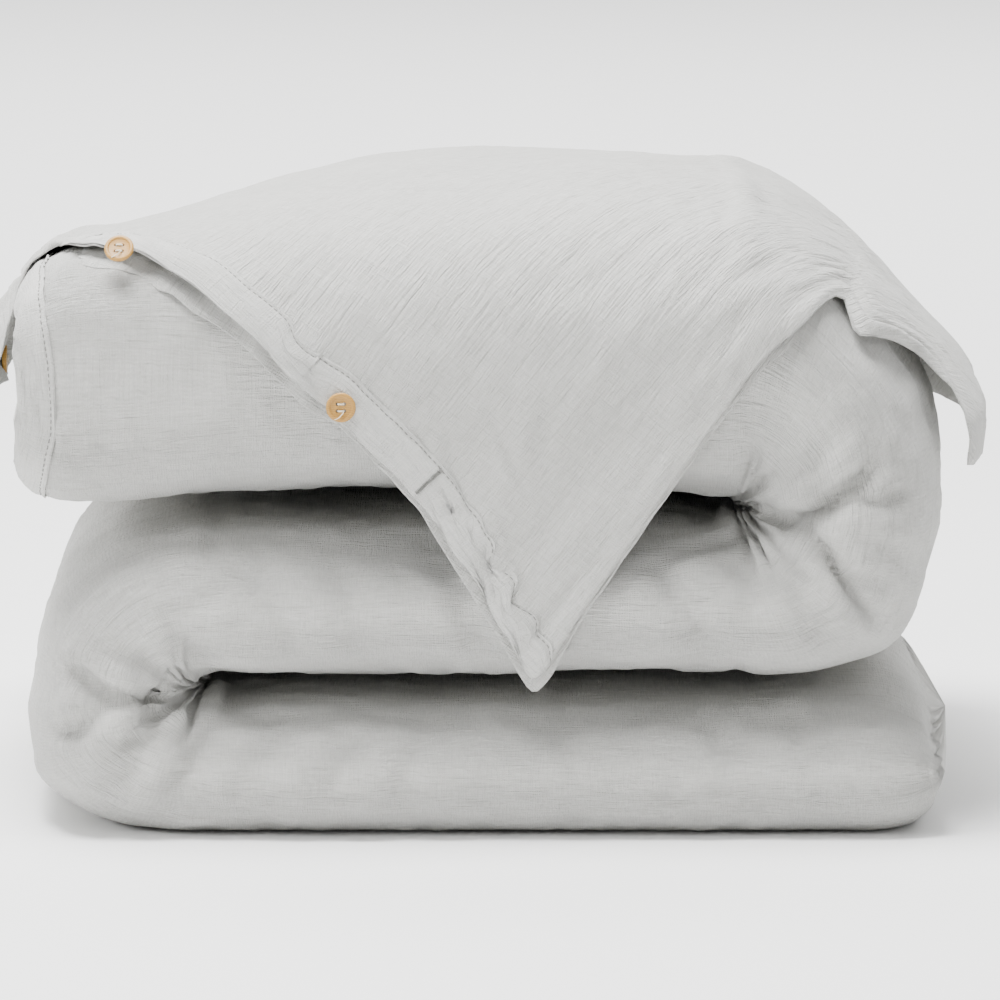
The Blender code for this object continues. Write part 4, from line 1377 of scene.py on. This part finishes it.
def build_gauze_group():
    """In: cloth coordinates in metres. Out: colour, with painted shade in its crinkle valleys and
    weave gaps, height in metres and roughness.
    """
    group, given, result = new_group(
        "gauze",
        [("Cloth", "NodeSocketVector", None), ("Thread", "NodeSocketColor", (0.6, 0.6, 0.57, 1)),
         ("Shade", "NodeSocketColor", (0.4, 0.4, 0.38, 1)), ("Crinkle", "NodeSocketFloat", 1.0)],
        [("Color", "NodeSocketColor"), ("Height", "NodeSocketFloat"),
         ("Roughness", "NodeSocketFloat")])
    cloth = given.outputs["Cloth"]
    wobble = noise_node(group, stretched(group, cloth, (1, 1, 0)), 260, 2)
    split = group.nodes.new("ShaderNodeSeparateXYZ")
    group.links.new(cloth, split.inputs[0])
    threads = []
    for axis in ("X", "Y"):
        bent = maths(group, "MULTIPLY_ADD", wobble, 0.0030, split.outputs[axis])
        turn = maths(group, "MULTIPLY", bent, 2 * math.pi / THREAD_PITCH)
        wave = maths(group, "SINE", turn)
        threads.append(maths(group, "MULTIPLY_ADD", wave, 0.5, 0.5))
    weave = maths(group, "MAXIMUM", threads[0], threads[1])
    holes = maths(group, "MULTIPLY", threads[0], threads[1])
    slub_long = noise_node(group, stretched(group, cloth, (60, 900, 0)), 1.0, 3)
    slub_wide = noise_node(group, stretched(group, cloth, (900, 60, 0)), 1.0, 3)
    slub = maths(group, "MULTIPLY", slub_long, slub_wide)
    long_ones = noise_node(group, stretched(group, cloth, (16, 210, 0)), 1.0, 4, 0.6)
    short_ones = noise_node(group, stretched(group, cloth, (75, 480, 0)), 1.0, 3, 0.6)
    cross_ones = noise_node(group, stretched(group, cloth, (430, 45, 0)), 1.0, 3, 0.6)
    folded = maths(group, "ABSOLUTE", maths(group, "SUBTRACT", long_ones, 0.5))
    crinkles = maths(group, "MULTIPLY_ADD", folded, -2.6, short_ones)
    crinkles = maths(group, "MULTIPLY_ADD", cross_ones, 0.45, crinkles)
    tall = maths(group, "MULTIPLY", crinkles, given.outputs["Crinkle"])
    height = maths(group, "MULTIPLY", tall, 0.0014)
    height = maths(group, "MULTIPLY_ADD", weave, 0.00022, height)
    height = maths(group, "MULTIPLY_ADD", slub, 0.0014, height)
    group.links.new(height, result.inputs["Height"])
    # Painted shade: the crinkle valleys and the gaps between the weave's threads are coloured
    # darker. The slubs and the patches are the cloth's own uneven tone.
    patch = noise_node(group, cloth, 14, 2)
    dark = maths(group, "MULTIPLY_ADD", slub, -1.3, 0.86)
    dark = maths(group, "MULTIPLY_ADD", holes, -0.20, dark)
    dark = maths(group, "MULTIPLY_ADD", crinkles, -0.28, dark)
    dark = maths(group, "MULTIPLY_ADD", patch, 0.16, dark)
    clamp = group.nodes.new("ShaderNodeClamp")
    group.links.new(dark, clamp.inputs["Value"])
    colour = mixed_colour(group, clamp.outputs[0], given.outputs["Thread"],
                          given.outputs["Shade"])
    group.links.new(colour, result.inputs["Color"])
    rough = maths(group, "MULTIPLY_ADD", weave, -0.08, 0.95)
    group.links.new(rough, result.inputs["Roughness"])
    return group


gauze_group = build_gauze_group()


def gauze_material(name, thread, shade, crinkle_share):
    material = bpy.data.materials.new(name)
    material.use_nodes = True
    tree = material.node_tree
    shader = tree.nodes["Principled BSDF"]
    where = tree.nodes.new("ShaderNodeUVMap")
    where.uv_map = "cloth"
    effect = tree.nodes.new("ShaderNodeGroup")
    effect.node_tree = gauze_group
    effect.inputs["Thread"].default_value = (*thread, 1)
    effect.inputs["Shade"].default_value = (*shade, 1)
    effect.inputs["Crinkle"].default_value = crinkle_share
    tree.links.new(where.outputs[0], effect.inputs["Cloth"])
    tree.links.new(effect.outputs["Color"], shader.inputs["Base Color"])
    tree.links.new(effect.outputs["Roughness"], shader.inputs["Roughness"])
    bump = tree.nodes.new("ShaderNodeBump")
    bump.inputs["Strength"].default_value = 1.0
    bump.inputs["Distance"].default_value = 1.0
    tree.links.new(effect.outputs["Height"], bump.inputs["Height"])
    tree.links.new(bump.outputs[0], shader.inputs["Normal"])
    shader.inputs["Sheen Weight"].default_value = 0.25
    shader.inputs["Sheen Roughness"].default_value = 0.5
    shader.inputs["Specular IOR Level"].default_value = 0.2
    return material


# %% Wood, thread and plain cotton


def build_wood_group():
    """In: the button's own coordinates. Out: colour, roughness and a fine height."""
    group, given, result = new_group(
        "turned wood", [("Place", "NodeSocketVector", None)],
        [("Color", "NodeSocketColor"), ("Roughness", "NodeSocketFloat"),
         ("Height", "NodeSocketFloat")])
    place = given.outputs["Place"]
    bend = noise_node(group, place, 90, 2)
    split = group.nodes.new("ShaderNodeSeparateXYZ")
    group.links.new(place, split.inputs[0])
    across = maths(group, "MULTIPLY_ADD", bend, 0.0035, split.outputs["Y"])
    far = maths(group, "ADD", across, 0.013)
    side = maths(group, "MULTIPLY", split.outputs["X"], 0.55)
    reach = maths(group, "SQRT", maths(group, "ADD", maths(group, "MULTIPLY", far, far),
                                       maths(group, "MULTIPLY", side, side)))
    rings = maths(group, "SINE", maths(group, "MULTIPLY", reach, 5200))
    grain = noise_node(group, stretched(group, place, (300, 2600, 900)), 1.0, 4)
    mix = maths(group, "MULTIPLY_ADD", rings, 0.22, grain)
    clamp = group.nodes.new("ShaderNodeClamp")
    group.links.new(mix, clamp.inputs["Value"])
    colour = mixed_colour(group, clamp.outputs[0], (0.52, 0.29, 0.055, 1), (0.33, 0.155, 0.027, 1))
    group.links.new(colour, result.inputs["Color"])
    group.links.new(maths(group, "MULTIPLY_ADD", grain, 0.25, 0.32), result.inputs["Roughness"])
    group.links.new(maths(group, "MULTIPLY", mix, 0.00006), result.inputs["Height"])
    return group


def wood_material():
    material = bpy.data.materials.new("turned wood")
    material.use_nodes = True
    tree = material.node_tree
    shader = tree.nodes["Principled BSDF"]
    where = tree.nodes.new("ShaderNodeTexCoord")
    effect = tree.nodes.new("ShaderNodeGroup")
    effect.node_tree = build_wood_group()
    bump = tree.nodes.new("ShaderNodeBump")
    bump.inputs["Distance"].default_value = 1.0
    tree.links.new(where.outputs["Object"], effect.inputs["Place"])
    tree.links.new(effect.outputs["Color"], shader.inputs["Base Color"])
    tree.links.new(effect.outputs["Roughness"], shader.inputs["Roughness"])
    tree.links.new(effect.outputs["Height"], bump.inputs["Height"])
    tree.links.new(bump.outputs[0], shader.inputs["Normal"])
    shader.inputs["Coat Weight"].default_value = 0.12
    shader.inputs["Coat Roughness"].default_value = 0.35
    return material


def thread_material(name, light, dark, sheen):
    material = bpy.data.materials.new(name)
    material.use_nodes = True
    tree = material.node_tree
    shader = tree.nodes["Principled BSDF"]
    where = tree.nodes.new("ShaderNodeTexCoord")
    fibres = noise_node(tree, where.outputs["Object"], 2600, 3)
    tree.links.new(mixed_colour(tree, fibres, (*light, 1), (*dark, 1)),
                   shader.inputs["Base Color"])
    shader.inputs["Roughness"].default_value = 0.8
    shader.inputs["Sheen Weight"].default_value = sheen
    return material


cover_gauze = gauze_material("cover gauze", (0.62, 0.615, 0.59), (0.34, 0.34, 0.32), 1.0)
hem_gauze = gauze_material("hem gauze", (0.64, 0.635, 0.61), (0.38, 0.38, 0.36), 0.7)
plain_cotton = gauze_material("plain cotton", (0.86, 0.86, 0.84), (0.76, 0.76, 0.74), 0.15)
wood = wood_material()
thread = thread_material("sewing thread", (0.80, 0.74, 0.60), (0.62, 0.56, 0.43), 0.3)
# The topstitch thread is coloured much darker than the cloth, as painted shade for the shadows
# along its stitch holes.
stitch_thread_with_painted_shade = thread_material("stitch thread with painted shade", (0.26, 0.26, 0.245), (0.19, 0.19, 0.175), 0)

# %% [markdown]
# Last, every piece gets its finish, and the frame nodes it stands for are hidden. The buttons ride
# on their own turning bodies and the stack's pieces on one body; pieces on the hanging corner are
# only baked in place.

# %% Finishes and bodies
UNDER_CLOTH = 0.0009
BAND_CLOTH = 0.0007


def finish_piece(piece, material, slot, body, *nodes):
    piece.data.materials.clear()
    piece.data.materials.append(material)
    if body == "hinge":
        bend_at_hinge(piece)
    else:
        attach(piece, body)
    if nodes:
        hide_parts(*nodes)


thicken(sheet, CLOTH, 1)
thicken(under, UNDER_CLOTH, -1)
for band in (corner_band, side_band, mouth_band):
    thicken(band, BAND_CLOTH, -1)
finish_piece(cover, cover_gauze, "cover_gauze", "stack", "cover_body")
finish_piece(comforter, plain_cotton, "comforter_shell", "stack", "comforter_insert")
finish_piece(mouth_band, hem_gauze, "hem_gauze", "stack", "buttonhole_band")
finish_piece(mouth_stitches, stitch_thread_with_painted_shade, "sewing_thread", "stack")
finish_piece(sheet, cover_gauze, "cover_gauze", "hinge", "turned_back_top", "corner_front_ply")
finish_piece(under, cover_gauze, "cover_gauze", "hinge", "corner_back_ply")
finish_piece(corner_band, hem_gauze, "hem_gauze", "hinge", "corner_button_band")
finish_piece(corner_stitches, stitch_thread_with_painted_shade, "sewing_thread", "hinge")
finish_piece(bar_tack, stitch_thread_with_painted_shade, "sewing_thread", "hinge", "corner_bar_tack")
finish_piece(side_band, hem_gauze, "hem_gauze", "stack", "side_button_band")
finish_piece(side_stitches, stitch_thread_with_painted_shade, "sewing_thread", "stack")
for number, button, stitch in zip((1, 2, 3, 4), buttons, button_threads):
    body = f"button_{number}_turn"
    finish_piece(button, wood, "button_wood", body, f"button_{number}")
    finish_piece(stitch, thread, "sewing_thread", body, f"button_thread_{number}")
for name in ("corner_tie_1", "corner_tie_2", "insert_loop_1", "insert_loop_2"):
    cord = frame["nodes"][name]
    cord.data.materials.clear()
    cord.data.materials.append(thread)


def surface_area(piece):
    return sum(face.area for face in piece.data.polygons)


print("areas", {piece.name: round(surface_area(piece), 3) for piece in (sheet, under)})
